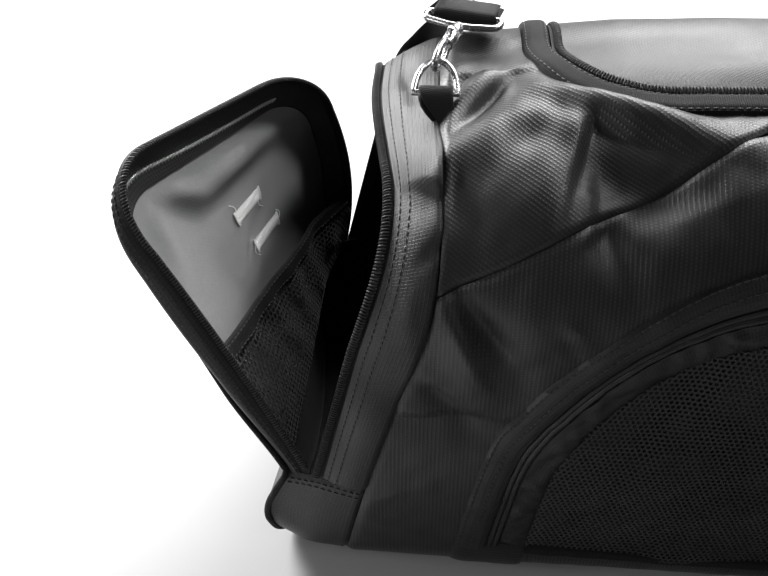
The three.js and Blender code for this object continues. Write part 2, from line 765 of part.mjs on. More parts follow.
// Webbing folded round the straight bar of the ring, with both ends sewn into the seam.
function strapTab(sign) {
  const turn = WIRE + GAP + STRAP_THICKNESS / 2;
  const fold = fractions(8).map((part) => {
    const angle = Math.PI * (part - 0.5);
    return { y: BAR_Y + turn * Math.cos(angle), lift: turn * Math.sin(angle) };
  });
  const path = [{ y: TAB_BACK, lift: -turn }, ...fold, { y: TAB_BACK, lift: -turn + STRAP_THICKNESS + GAP }];
  const across = vector(1, 0, 0);
  const rows = path.map(({ y, lift }) => ({ point: hardwarePoint(sign, 0, y, lift), across }));
  return ribbon(rows, TAB_WIDTH, STRAP_THICKNESS);
}

function dRing(sign) {
  const half = RING_WIDTH / 2;
  const arc = fractions(12).map((part) => {
    const angle = Math.PI * part;
    return { side: half * Math.cos(angle), along: RING_LENGTH * Math.sin(angle) };
  });
  const bar = [{ side: -half / 2, along: 0 }, { side: half / 2, along: 0 }];
  const path = [...arc, ...bar].map(({ side, along }) => (
    hardwarePoint(sign, side, BAR_Y + along, (RING_RISE * along) / RING_LENGTH)));
  const slope = vector(0, -RING_RISE, RING_LENGTH).normalize();
  return wire(path, WIRE, 6, slope, true);
}

// Place on the hook, which swings towards the middle round the tip of the ring.
function hookPoint(sign, side, along, lift) {
  const turned = along * Math.sin(HOOK_SWING) + side * Math.cos(HOOK_SWING);
  const reach = along * Math.cos(HOOK_SWING) - side * Math.sin(HOOK_SWING);
  return hardwarePoint(sign, turned, BAR_Y + RING_LENGTH + reach, RING_RISE + lift);
}

// Start of the hook's body, measured from the tip of the ring.
const BODY_START = 2 * HOOK_LOOP.halfLength - HOOK_LOOP.halfHeight - WIRE;
const EYE_START = BODY_START + HOOK_BODY.length;
const EYE_BAR = EYE_START + EYE.length;

function snapHook(sign) {
  const middle = BODY_START - HOOK_LOOP.halfLength + WIRE;
  const loop = fractions(16).slice(0, -1).map((part) => {
    const angle = 2 * Math.PI * part;
    return hookPoint(
      sign, 0, middle + HOOK_LOOP.halfLength * Math.cos(angle), HOOK_LOOP.halfHeight * Math.sin(angle));
  });
  const body = [0, 0.2, 0.8, 1].map((part) => hookPoint(sign, 0, BODY_START + HOOK_BODY.length * part, 0));
  const eye = [
    { side: EYE.halfWidth, along: EYE_BAR },
    { side: -EYE.halfWidth, along: EYE_BAR },
    { side: -EYE.halfWidth, along: EYE_START + EYE.shoulder },
    { side: -EYE.neck, along: EYE_START },
    { side: EYE.neck, along: EYE_START },
    { side: EYE.halfWidth, along: EYE_START + EYE.shoulder },
  ].map(({ side, along }) => hookPoint(sign, side, along, 0));
  const across = vector().subVectors(hookPoint(sign, 1, 0, 0), hookPoint(sign, 0, 0, 0));
  return fuse([
    wire(loop, WIRE, 6, across, true),
    wire(body, HOOK_BODY.radius, 8, vector(0, 0, 1)),
    wire(eye, WIRE, 6, vector(0, 0, 1), true),
  ]);
}

// Place on the body with the direction straight out of the cloth.
function clothFrame(x, turn, lift) {
  const girthAt = (along) => turn * 2 * halfGirth(sectionAt(along));
  const point = bodyPoint(x, girthAt(x), lift);
  const along = vector().subVectors(bodyPoint(x + 1, girthAt(x + 1)), bodyPoint(x - 1, girthAt(x - 1)));
  const round = vector().subVectors(bodyPoint(x, girthAt(x) + 1), bodyPoint(x, girthAt(x) - 1));
  return { point, outward: vector().crossVectors(round, along).normalize() };
}

// One half of the strap: folded round the bar of the hook's eye, then down the back to the middle.
function strapHalf(sign) {
  const turn = WIRE + GAP + STRAP_THICKNESS / 2;
  const across = vector().subVectors(hookPoint(sign, 1, 0, 0), hookPoint(sign, 0, 0, 0));
  const fold = fractions(8).map((part) => {
    const angle = Math.PI * (1.5 - part);
    return { along: EYE_BAR + turn * Math.cos(angle), lift: turn * Math.sin(angle) };
  });
  const tail = { along: EYE_BAR + FOLD_BACK, lift: -turn };
  const lead = { along: EYE_BAR + FOLD_OUT, lift: turn };
  const rows = [tail, ...fold, lead].map(({ along, lift }) => (
    { point: hookPoint(sign, 0, along, lift), across }));
  const stops = STRAP_ROUTE.map(({ x, turn: part, lift }) => vector(x, part / TURN_SCALE, lift));
  const route = new THREE.CatmullRomCurve3(stops);
  const frames = route.getSpacedPoints(24).map(({ x, y, z }) => clothFrame(-sign * x, y * TURN_SCALE, z));
  const laid = frames.map(({ point, outward }, k) => {
    const before = frames[Math.max(k - 1, 0)].point;
    const after = frames[Math.min(k + 1, frames.length - 1)].point;
    const tangent = vector().subVectors(after, before);
    return { point, across: vector().crossVectors(outward, tangent).setLength(sign) };
  });
  return [...rows, ...laid];
}

function shoulderStrap() {
  const left = strapHalf(-1);
  const right = strapHalf(1).reverse().slice(1);
  return ribbon([...left, ...right], STRAP_WIDTH, STRAP_THICKNESS);
}

// Assembly

function assemble(pieces) {
  const group = new THREE.Group();
  for (const [name, geometry, finish] of pieces) {
    const mesh = new THREE.Mesh(geometry, new THREE.MeshStandardMaterial(FINISHES[finish]));
    mesh.name = name;
    group.add(mesh);
  }
  return group;
}

const bag = new THREE.Group();

bag.add(assemble([
  ["base_panel", basePanel(), "cloth"],
  ["front_panel", frontPanel(), "cloth"],
  ["upper_panel", upperPanel(), "cloth"],
  ["back_panel", backPanel(), "cloth"],
]));

bag.add(assemble([
  ["end_band", endBand(), "cloth"],
  ["hinge_gusset", hingeGusset(), "cloth"],
  ["end_panel", endPanel(), "coated"],
  ["flap_gusset", flapGusset(), "cloth"],
  ["end_piping", endPiping(), "webbing"],
  ["rim_zip", rimZip(), "zip"],
  ["flap_zip", flapZip(), "zip"],
  ["end_slider", endSlider(), "metal"],
  ["mesh_pocket", meshPocket(), "net"],
  ["mesh_hem", meshHem(), "webbing"],
]));

bag.add(assemble([
  ["right_band", rightBand(), "cloth"],
  ["right_panel", rightPanel(), "cloth"],
  ["right_piping", rightPiping(), "webbing"],
]));

bag.add(assemble([
  ...Object.entries(POCKET_LAYERS).map(([name, layer]) => (
    [name, pocketStrip(layer), name === "pocket_zip" ? "zip" : "cloth"])),
  ["pocket_mesh", pocketNet(), "net"],
  ["pocket_slider", pocketSlider(), "metal"],
  ["pocket_tab_left", pocketTab(-1), "cloth"],
  ["pocket_tab_right", pocketTab(1), "cloth"],
]));

bag.add(assemble([
  ...Object.entries(LID_LAYERS).map(([name, layer]) => (
    [name, lidStrip(layer), name === "lid_zip" ? "zip" : "webbing"])),
  ["lid_panel", lidPanel(), "cloth"],
  ["lid_slider", lidSlider(), "metal"],
]));

for (const [end, sign] of [["left", -1], ["right", 1]]) {
  bag.add(assemble([
    [`strap_tab_${end}`, strapTab(sign), "webbing"],
    [`d_ring_${end}`, dRing(sign), "metal"],
    [`snap_hook_${end}`, snapHook(sign), "metal"],
  ]));
}

bag.add(assemble([["shoulder_strap", shoulderStrap(), "webbing"]]));

export default bag;
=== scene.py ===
"""Looks of the sports travel bag: cloth, zips, nets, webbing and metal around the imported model."""

import math
from collections import namedtuple

import bpy
import numpy as np
from mathutils import Matrix, Vector


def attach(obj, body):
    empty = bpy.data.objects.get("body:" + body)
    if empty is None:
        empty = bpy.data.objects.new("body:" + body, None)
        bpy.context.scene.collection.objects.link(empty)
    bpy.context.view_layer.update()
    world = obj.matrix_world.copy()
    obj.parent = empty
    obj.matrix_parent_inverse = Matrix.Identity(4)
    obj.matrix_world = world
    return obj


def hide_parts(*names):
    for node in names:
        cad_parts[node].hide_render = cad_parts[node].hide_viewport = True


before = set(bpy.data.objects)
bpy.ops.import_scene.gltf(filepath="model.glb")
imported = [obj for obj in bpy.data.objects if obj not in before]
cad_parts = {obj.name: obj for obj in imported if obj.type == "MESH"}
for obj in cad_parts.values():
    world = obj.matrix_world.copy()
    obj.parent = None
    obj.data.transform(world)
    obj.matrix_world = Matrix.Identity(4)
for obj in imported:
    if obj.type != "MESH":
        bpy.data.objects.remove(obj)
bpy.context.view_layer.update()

bl_info = {
    "name": "Sports Travel Bag",
    "version": (1, 0, 0),
    "blender": (4, 5, 0),
    "location": "View3D > Sidebar > Travel Bag",
    "description": "Dresses the packed sports travel bag in cloth, zips, nets, webbing and metal",
    "category": "Object",
}

BODY = "root"

# Body of the bag, in metres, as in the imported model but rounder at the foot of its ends

Section = namedtuple("Section", "x half_depth height shoulder foot bulge crown flare rise")
SECTIONS = (
    Section(0.000, 0.131, 0.311, 0.088, 0.035, 0.006, 0.005, 0.000, 0.000),
    Section(0.140, 0.130, 0.308, 0.088, 0.035, 0.006, 0.005, 0.000, 0.000),
    Section(0.261, 0.125, 0.299, 0.084, 0.028, 0.005, 0.004, 0.000, 0.000),
    Section(0.296, 0.120, 0.274, 0.076, 0.026, 0.003, 0.003, 0.019, 0.004),
    Section(0.320, 0.116, 0.266, 0.068, 0.042, 0.002, 0.002, 0.019, 0.007),
)
TAPER = 0.2
SHOULDER_HEIGHT = 0.271
FLARE_FROM = 0.190
FLARE_BACK = 0.042
FLARE_DRAW = 0.26
RISE_TO = 0.060
WALL = 0.002
GAP = 0.0004
EDGE_GAP = 0.0012
SEAM = 0.267
SEAM_BOW = 0.011
SEAM_BOW_GIRTH = 0.330
SEAM_BOW_WIDTH = 0.060
RIM = 0.296
END = 0.320
END_BOW = 0.008
END_TUCK = 0.024
END_TUCK_REACH = 0.8
END_LAP = 0.0008
BASE_GIRTH = 0.088
CHEVRON_GIRTH = 0.348
CHEVRON_SLOPE = 0.534
CHEVRON_TOP = 0.466
BACK_SEAM_GIRTH = 0.352
BAND_PUFF = 0.003
SEAM_LAP = 0.002

# Folds of the cloth: place along the bag and round its girth, half length, half width, rise on the way to
# the middle in degrees, height, and how sharp the crest is.
Fold = namedtuple("Fold", "x girth length width turn height sharp")
CREST_WIDTH = 0.25
MAIN_FOLDS = (
    Fold(0.150, 0.452, 0.060, 0.012, -14, 0.003, 0),
    Fold(0.130, 0.428, 0.044, 0.024, -10, -0.009, 0),
    Fold(0.200, 0.408, 0.046, 0.036, 0, 0.004, 0),
    Fold(0.237, 0.477, 0.040, 0.011, 51, -0.004, 0),
    Fold(0.248, 0.404, 0.036, 0.015, 90, -0.003, 0),
    Fold(0.226, 0.314, 0.044, 0.013, -55, 0.005, 0),
    Fold(0.219, 0.335, 0.036, 0.010, -42, -0.004, 0),
    Fold(0.182, 0.338, 0.036, 0.030, 0, 0.004, 0),
    Fold(0.216, 0.262, 0.052, 0.016, -22, -0.005, 0),
    Fold(0.150, 0.386, 0.026, 0.011, -55, -0.004, 0),
)
SMALL_FOLDS = (
    Fold(0.146, 0.474, 0.056, 0.010, -15, 0.0095, 0),
    Fold(0.243, 0.487, 0.030, 0.009, 51, 0.0045, 0),
    Fold(0.234, 0.482, 0.028, 0.004, 51, -0.0038, 0),
    Fold(0.258, 0.487, 0.026, 0.006, 60, -0.0040, 0),
    Fold(0.205, 0.452, 0.034, 0.010, 41, -0.0024, 0),
    Fold(0.240, 0.446, 0.030, 0.012, 40, 0.0022, 0),
    Fold(0.200, 0.472, 0.040, 0.016, 10, 0.0035, 0),
    Fold(0.135, 0.412, 0.036, 0.014, 28, -0.0045, 0),
    Fold(0.200, 0.410, 0.046, 0.034, 0, -0.0022, 0),
    Fold(0.256, 0.412, 0.018, 0.008, 80, -0.0030, 0),
    Fold(0.232, 0.328, 0.034, 0.007, -53, 0.0052, 1),
    Fold(0.227, 0.339, 0.026, 0.006, -42, -0.0046, 0),
    Fold(0.238, 0.284, 0.022, 0.005, -36, -0.0040, 0),
    Fold(0.244, 0.270, 0.018, 0.007, -26, 0.0022, 0),
    Fold(0.190, 0.342, 0.040, 0.018, -70, 0.0022, 0),
    Fold(0.161, 0.342, 0.012, 0.004, -32, 0.0032, 1),
    Fold(0.167, 0.333, 0.012, 0.004, -40, -0.0024, 0),
    Fold(0.090, 0.415, 0.040, 0.010, 20, 0.0024, 1),
    Fold(0.060, 0.450, 0.050, 0.012, -8, 0.0020, 1),
    Fold(0.030, 0.405, 0.036, 0.010, -30, 0.0020, 1),
    Fold(0.244, 0.200, 0.030, 0.008, 30, 0.0012, 1),
    Fold(0.232, 0.158, 0.036, 0.008, -20, 0.0010, 1),
)

# Tucks of the cloth: the place of a corner along and across it, how fast the height comes before the corner
# and goes after it, first along and then downwards, turn in degrees, and height.
Tuck = namedtuple("Tuck", "along across start length lead width turn height")
TUCKS = (
    Tuck(-0.164, 0.462, 0.006, 0.070, 0.006, 0.050, -16, -0.0090),
    Tuck(-0.160, 0.424, 0.006, 0.040, 0.020, 0.030, 0, -0.0040),
    Tuck(-0.157, 0.396, 0.006, 0.034, 0.020, 0.022, -50, -0.0040),
    Tuck(-0.256, 0.262, 0.030, 0.080, 0.007, 0.044, 4, -0.0050),
)

# Dents of one surface: place on it, half sizes, turn in degrees and depth
Dent = namedtuple("Dent", "across up length width turn depth")

# Unevenness of one surface: height, spacing of its waves, and seed
Uneven = namedtuple("Uneven", "height wave seed")

# End flap
HINGE_HEIGHT = 0.087
HINGE_DROP = 0.1
HINGE_X = -0.285
Flap = namedtuple("Flap", "height half_width top_half_width corner")
FLAP = Flap(0.196, 0.116, 0.097, 0.048)
PANEL = Flap(0.170, 0.115, 0.096, 0.040)
PANEL_DEPTH = 0.021
PANEL_HINGE_DEPTH = 0.014
PANEL_DEPTH_BY = 0.060
PANEL_BELLY = 0.010
HINGE_SHARE = 0.3
LEAN = math.radians(8.7)
LEAN_GAIN = math.radians(10.9)
YAW = math.radians(32.3)
TILT = math.radians(-4.3)
ZIP_WIDTH = 0.006
RIM_GAP = 0.0018
FLAP_START = 0.0015
SLIDER_ROOM = 0.014
PIPING_RADIUS = 0.0022
PIPING_BEND = 0.002
PIPING_OUT = 0.0009
NET_CLEARANCE = 0.003
NET_SIDE = 0.004
NET_START = 0.0035
HEM_NEAR = 0.080
HEM_FAR = 0.060
HEM_WIDTH = 0.011
HEM_RISE = (0.0004, 0.0020)
NET_HALF_WIDTH = PANEL.half_width - NET_SIDE
NET_SLACK = 0.0045
NET_UNEVEN = Uneven(0.0020, 0.05, 31)
NET_WAVE = 0.0012
NET_WAVE_LENGTH = 0.021
NET_BACK_FROM = 0.55
NET_BACK_DRAW = 0.6

# Body panels: two sizes of waves, the second with the seed after the panel's own
PANEL_WAVES = ((0.0006, 0.09), (0.00025, 0.03))
WAVES_FROM = (0.10, 0.16)
SEAMS_FROM = (0.088, 0.11)
BASE_SEED = 2
FRONT_SEED = 3
UPPER_SEED = 5
BACK_SEED = 7

# End band
BAND_LENGTH = 0.68
BAND_WIDTH = 0.034
BAND_LAP = 0.004
BAND_END_DEPTH = 0.0025
LAP_DEPTH = 0.0018
LAP_PARTS = (0.92, 1.0)
BAND_UNEVEN = Uneven(0.0005, 0.05, 11)
BAND_FOLDS = (
    Dent(0.236, 0.024, 0.010, 0.012, 29, -0.0022),
    Dent(0.362, 0.015, 0.030, 0.004, -5, -0.0035),
    Dent(0.335, 0.024, 0.012, 0.010, 0, -0.0030),
    Dent(0.205, 0.026, 0.010, 0.006, 50, -0.0020),
    Dent(0.160, 0.022, 0.030, 0.006, -14, 0.0016),
)
BAND_TUCKS = (Tuck(0.247, 0.026, 0.0032, 0.044, 0.014, 0.013, 29, 0.0085),)

# Hinge gusset and end panel
GUSSET_LENGTH = 0.36
GUSSET_WIDTH = 0.055
GUSSET_DEPTH = 0.05
GUSSET_WAVES_FROM = (0.10, 0.13)
GUSSET_LAP_FROM = (0.085, 0.095)
GUSSET_UNEVEN = Uneven(0.0005, 0.05, 13)
END_SAG = 0.010
PANEL_LENGTH = 0.26
OUTER_WALL = 0.0009
COATING_WALL = 0.0006
COATED_UNEVEN = Uneven(0.0005, 0.06, 21)
COATED_MARGIN = 0.02

# Wall round the flap and the bound seam inside it
HINGE_LAP = 0.012
WALL_WIDTH = 0.03
WALL_PUFF = 0.011
WALL_PUFF_PART = 0.22
WALL_PUFF_REACH = 0.16
BOUND_PART = 0.6
BOUND_LIFT = 0.0022
BOUND_REACH = (0.28, 0.62)
BOUND_RADIUS = 0.0010
BOUND_POINTS = 160
# Bound seam: its own grey, raised past that tone as a painted sheen where the seam is lit
BOUND_TINT_AND_SHEEN = (0.36, 0.36, 0.36)
OVERLOCK_PITCH = 0.0026
OVERLOCK_STITCH = 0.0042
OVERLOCK_LIFT = 0.0008
OVERLOCK_THREAD = 0.0005

# Bar tacks on the coated panel: both ends of each, its dense stitches, end knots and loose tails
TACKS = (((-0.006, 0.114), (0.026, 0.116)), ((0.003, 0.086), (0.036, 0.087)))
TACK_WIDTH = 0.0088
TACK_TURNS = (82, 98)
TACK_PITCH = 0.0009
TACK_LIFT = 0.0009
TACK_THREAD = 0.00072
KNOT_LENGTH = 0.0022
KNOT_WIDTH = 1.25 * TACK_WIDTH
KNOT_TURN = 88
KNOT_PITCH = 0.0008
KNOT_LIFT = 0.0013
TAIL_START = 0.002
TAIL_SWAY = 0.004
TAIL_LENGTH = 0.009
TAIL_RADIUS = 0.00032
TAIL_FACE = -0.6

# Dents of the coated panel, outwards if positive, placed across and up the flap
DENTS = (
    Dent(0.012, 0.149, 0.050, 0.011, 3, -0.0048),
    Dent(-0.040, 0.158, 0.020, 0.008, -36, -0.0040),
    Dent(0.004, 0.132, 0.050, 0.011, 5, 0.0040),
    Dent(-0.045, 0.142, 0.016, 0.012, -40, 0.0045),
    Dent(-0.070, 0.146, 0.026, 0.008, 80, -0.0030),
    Dent(0.060, 0.118, 0.030, 0.022, 70, 0.0030),
    Dent(0.012, 0.098, 0.030, 0.007, 40, 0.0016),
)

# Right end, with its seams as parts across the band
RIGHT_BAND_SIZE = (0.055, 0.95)
RIGHT_BAND_DEPTH = 0.05
RIGHT_BAND_FROM = (0.10, 0.14)
RIGHT_BAND_SEAMS = (0.0, 1.0, 0.45)
RIGHT_BAND_PUFF = 0.002
RIGHT_BAND_UNEVEN = Uneven(0.0005, 0.06, 41)
RIGHT_PANEL_SIZE = (0.226, 0.27)
RIGHT_PANEL_UNEVEN = Uneven(0.0008, 0.1, 43)

# Front pocket
POCKET_HALF_WIDTH = 0.199
POCKET_BOTTOM = 0.152
POCKET_SPRING = 0.212
POCKET_RISE = 0.180
POCKET_BEND = 1.1
BAND_INSETS = (0.0, 0.020)
POCKET_ZIP_INSETS = (0.0204, 0.0284)
FACING_INSETS = (0.0288, 0.045)
POCKET_NET_INSET = 0.0454
TAB_LOW = 0.130
TAB_INNER = 0.150
POCKET_LENGTH = 0.72
POCKET_SLIDER_PART = 0.95
POCKET_BAND_UNEVEN = Uneven(0.00025, 0.03, 51)
FACING_GATHERS = Uneven(0.5, 0.022, 53)
POCKET_NET_UNEVEN = Uneven(0.0008, 0.08, 57)
POCKET_NET_LIFT = 0.0016
POCKET_HEM_WIDTH = 0.010
POCKET_HEM_LAP = 0.004

# Zip tapes and sliders
RIM_TAPE = (-0.7, 1.0)
RIM_TAPE_LIFT = -0.0008
RIM_COIL_LIFT = 0.0003
FLAP_TAPE_WIDTH = ZIP_WIDTH + 0.002
FLAP_COIL_DEPTH = 0.0022
FLAP_COIL_LIFT = 0.0001
END_SLIDER_OUT = 0.002
END_SLIDER_BACK = 0.005
ZIP_LENGTH = 0.6
TAPE_WIDTH = 0.01
STRIP_WALL = 0.0008
SLIDER_LIFT = 0.003
SLIDER_LENGTH = 0.010
SLIDER_WIDTH = 0.008
SLIDER_HEIGHT = 0.0045
PULL_LENGTH = 0.024
PULL_WIDTH = 0.006
PULL_HEIGHT = 0.002

# Lid
LID_HALF_LENGTH = 0.168
LID_FRONT = -0.044
LID_BACK = 0.095
LID_CORNER = 0.080
LID_HOLE = 0.011
LID_BAND_INSETS = (0.0, 0.017)
LID_ZIP_INSETS = (0.0174, 0.026)
LID_INSET = 0.0264
LID_PUFF = 0.006
LID_LIFT = 0.001
LID_BIAS = 0.4
LID_LENGTH = 0.54
LID_SLIDER_PART = 0.62
LID_BAND_UNEVEN = Uneven(0.0002, 0.04, 61)
LID_UNEVEN = Uneven(0.0008, 0.07, 63)
LID_TUCK = 0.003
LID_ZIP_RISE = 0.0002
LID_COIL_LIFT = 0.0008
LID_DENTS = (
    Dent(-0.070, 0.010, 0.050, 0.016, 8, 0.0040),
    Dent(0.040, 0.030, 0.050, 0.020, -12, 0.0030),
)

# Carrying hardware, with the swing of a hook in degrees
HARDWARE_X = 0.217
HARDWARE_LIFT = 0.012
TAB_BACK = -0.042
BAR_Y = -0.024
TAB_WIDTH = 0.019
TAB_GATHER = 0.3
TAB_SHIFT = 0.010
TAB_SINK = 0.003
WIRE = 0.002
RING_WIDTH = 0.024
RING_LENGTH = 0.022
RING_RISE = 0.008
HOOK_SWING = 15
HOOK_LOOP = (0.013, 0.006)
HOOK_BODY_LENGTH = 0.026
HOOK_BODY_RADIUS = 0.0045
EYE_HALF_WIDTH = 0.023
EYE_LENGTH = 0.014
EYE_NECK = 0.006
EYE_SHOULDER = 0.004
EYE_ROUND = 0.004
KNOB_PLACE = 0.008
KNOB_RADIUS = 0.002
STRAP_WIDTH = 0.038
STRAP_THICKNESS = 0.002
FOLD_BACK = 0.022
FOLD_OUT = 0.012
BODY_START = 2 * HOOK_LOOP[0] - HOOK_LOOP[1] - WIRE
EYE_START = BODY_START + HOOK_BODY_LENGTH
EYE_BAR = EYE_START + EYE_LENGTH

# Route of the strap: place along the bag, part of the girth gone round by way of the front, and lift
Stop = namedtuple("Stop", "x turn lift")
STRAP_ROUTE = (
    Stop(-0.260, 0.578, 0.015),
    Stop(-0.270, 0.602, 0.009),
    Stop(-0.276, 0.640, 0.007),
    Stop(-0.268, 0.680, 0.007),
    Stop(-0.250, 0.720, 0.007),
    Stop(-0.222, 0.760, 0.007),
    Stop(-0.180, 0.795, 0.007),
    Stop(-0.124, 0.822, 0.007),
    Stop(-0.062, 0.838, 0.007),
    Stop(0.000, 0.843, 0.007),
)

# Rows of stitches: where they run across each surface
BAND_ROWS = (0.11, 0.29)
POCKET_ROWS = (0.0019, 0.0100)
LID_ROWS = (0.0026, 0.0146)
HEM_ROWS = (0.2, 0.8)
FLAP_ROWS = (0.16, 0.32)
HINGE_ROWS = (0.012, 0.024, 0.976, 0.988)

# Points on a line that is measured, and the distance at which two vertices are one
LINE_SAMPLES = 800
TOUCHING = 1e-6

# Lamps of the stage: place, target, size, power in watts and spread in degrees
Lamp = namedtuple("Lamp", "name place target size power spread")
LAMPS = (
    Lamp("back box", (0.15, 1.15, 1.15), (-0.1, 0.0, 0.25), 0.8, 39, 180),
    Lamp("left box", (-1.05, 0.75, 0.72), (-0.2, 0.0, 0.22), 0.6, 34, 180),
    Lamp("right box", (0.70, 0.50, 1.90), (-0.46, -0.02, 0.16), 0.4, 0.40, 12),
    Lamp("front box", (0.60, -0.60, 1.30), (-0.42, 0.0, 0.2), 0.4, 0.05, 25),
    Lamp("side box", (-1.35, -0.60, 0.60), (-0.12, -0.13, 0.18), 0.4, 1.6, 120),
)
WORLD_LIGHT = 0.06
FLOOR_SIZE = 14.0
FLOOR_TINTS = ((0.62, 0.62, 0.62, 1), (0.65, 0.65, 0.65, 1))

# Camera that took the photo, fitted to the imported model
CAMERA_EYE = (-0.20988, -0.53452, 0.60591)
CAMERA_AZIMUTH = math.radians(4)
CAMERA_ELEVATION = math.radians(41)
CAMERA_LENS = 49.45
CAMERA_SENSOR = 36.0

# Weave: how much closer the dashes lie along the cloth than across it
DASH_SHARE = 1.2


# Settings that a user would change


def length(name, description, default):
    return bpy.props.FloatProperty(
        name=name, description=description, default=default, min=0.0, precision=5, unit="LENGTH")


def tint(name, description, default):
    return bpy.props.FloatVectorProperty(
        name=name, description=description, default=default, min=0.0, max=1.0, subtype="COLOR")


class ClothSettings(bpy.types.PropertyGroup):
    """Sizes of the cloth and its stitches"""

    wall: length("Wall", "Thickness of one layer of cloth", 0.0012)
    step: length("Mesh step", "Spacing of the mesh on the main panels", 0.0025)
    weave_pitch: length("Weave pitch", "Spacing of the raised lines of the cloth", 0.0024)
    seam_dip: length("Seam dip", "How far the cloth is drawn in along a seam", 0.0020)
    seam_width: length("Seam width", "How wide the cloth is drawn in along a seam", 0.0022)
    stitch: length("Stitch", "Length of one stitch", 0.0032)
    stitch_gap: length("Stitch gap", "Space between two stitches", 0.0011)
    thread: length("Thread", "Radius of the sewing thread", 0.00042)


class ZipSettings(bpy.types.PropertyGroup):
    """Sizes of the zips"""

    pitch: length("Coil pitch", "Spacing of the turns of a coil", 0.0018)
    half_width: length("Coil half width", "Half the width of one coil", 0.0022)
    half_height: length("Coil half height", "Half the height of one coil", 0.0010)
    wire: length("Coil wire", "Radius of the nylon wire in a coil", 0.00058)


class NetSettings(bpy.types.PropertyGroup):
    """Sizes of the nets"""

    pitch: length("Hole pitch", "Spacing of the holes of the front net", 0.0036)
    flap_pitch: length("Flap hole pitch", "Spacing of the holes of the net in the flap", 0.0042)
    strand: length("Strand", "Width of the yarn between two holes", 0.0013)
    wall: length("Net wall", "Thickness of the net", 0.0005)


class FinishSettings(bpy.types.PropertyGroup):
    """Colours of the bag's finishes"""

    cloth: tint("Cloth", "Black woven nylon", (0.014, 0.014, 0.0145))
    coated: tint("Coated", "Grey coated inner face of the end cloth", (0.25, 0.25, 0.254))
    net: tint("Net", "Knitted net", (0.010, 0.010, 0.0105))
    webbing: tint("Webbing", "Strap and binding tape", (0.009, 0.009, 0.0095))
    coil: tint("Coil", "Nylon coil of the zips", (0.026, 0.026, 0.027))
    metal: tint("Metal", "Bright plated rings and hooks", (0.62, 0.62, 0.635))
    thread: tint("Thread", "Black sewing thread", (0.026, 0.026, 0.0265))
    pale_thread: tint("Pale thread", "White thread of the bar tacks", (0.94, 0.94, 0.93))


class BagSettings(bpy.types.PropertyGroup):
    """All settings of the travel bag"""

    cloth: bpy.props.PointerProperty(type=ClothSettings)
    zips: bpy.props.PointerProperty(type=ZipSettings)
    nets: bpy.props.PointerProperty(type=NetSettings)
    finish: bpy.props.PointerProperty(type=FinishSettings)


def settings():
    return bpy.context.scene.travel_bag


# Small sums


def lerp(low, high, part):
    return low + (high - low) * part


def smoothstep(value, low, high):
    part = np.clip((value - low) / (high - low), 0, 1)
    return part * part * (3 - 2 * part)


def unit(vectors):
    return vectors / np.maximum(np.linalg.norm(vectors, axis=-1, keepdims=True), 1e-12)


def bell(value, width):
    return np.exp(-((value / width) ** 2))


def arrays(*values):
    """Numbers or arrays of numbers, brought to one shape."""
    return np.broadcast_arrays(*[np.asarray(value, float) for value in values])


def turned(along, across, degrees):
    """Place on axes that are turned by some degrees."""
    turn = math.radians(degrees)
    return along * math.cos(turn) + across * math.sin(turn), across * math.cos(turn) - along * math.sin(turn)


def out_and_back(part, length):
    """Way gone up one side of an outline and then down the other, with the sign of the side."""
    return 2 * length * np.where(part <= 0.5, part, 1 - part), np.where(part <= 0.5, -1.0, 1.0)


def way(points):
    """Distances gone along a line at each of its points."""
    return np.concatenate([[0], np.cumsum(np.linalg.norm(np.diff(points, axis=0), axis=1))])


def rows_between(places, known, rows):
    """Rows of numbers at places between the known ones."""
    return np.stack([np.interp(places, known, column) for column in rows.T], axis=-1)


def ripple(first, second, wave, seed, count=9):
    """Smooth unevenness of cloth between about -1 and 1, the same on each run."""
    draws = np.random.default_rng(seed)
    total = np.zeros(np.broadcast(first, second).shape)
    for _ in range(count):
        angle = draws.uniform(0, 2 * math.pi)
        stretch = draws.uniform(0.6, 1.7) * 2 * math.pi / wave
        phase = draws.uniform(0, 2 * math.pi)
        total += np.sin(stretch * (first * math.cos(angle) + second * math.sin(angle)) + phase)
    return total / math.sqrt(count)


def uneven_height(uneven, first, second):
    return uneven.height * ripple(first, second, uneven.wave, uneven.seed)


# Surface of the body


def section_at(x):
    along = np.clip(np.abs(x), 0, END)
    places = [row.x for row in SECTIONS]
    return Section(*[np.interp(along, places, column) for column in zip(*SECTIONS)])


def stretches(section):
    """Lengths from the middle of the base to the middle of the top."""
    base = section.half_depth - section.foot
    foot_arc = section.foot * math.pi / 2
    side = section.height - section.shoulder - section.foot
    shoulder_arc = section.shoulder * math.pi / 2
    top = section.half_depth - section.shoulder
    return base, foot_arc, side, shoulder_arc, top


def half_girth(section):
    return sum(stretches(section))


def girth_at_height(section, height):
    return sum(stretches(section)[:2]) + height - section.foot


def run_at(section, girth):
    """Distance from the middle of the base, up the front or up the back, to a place on the girth."""
    half = half_girth(section)
    return np.where(girth > half, 2 * half - girth, np.abs(girth))


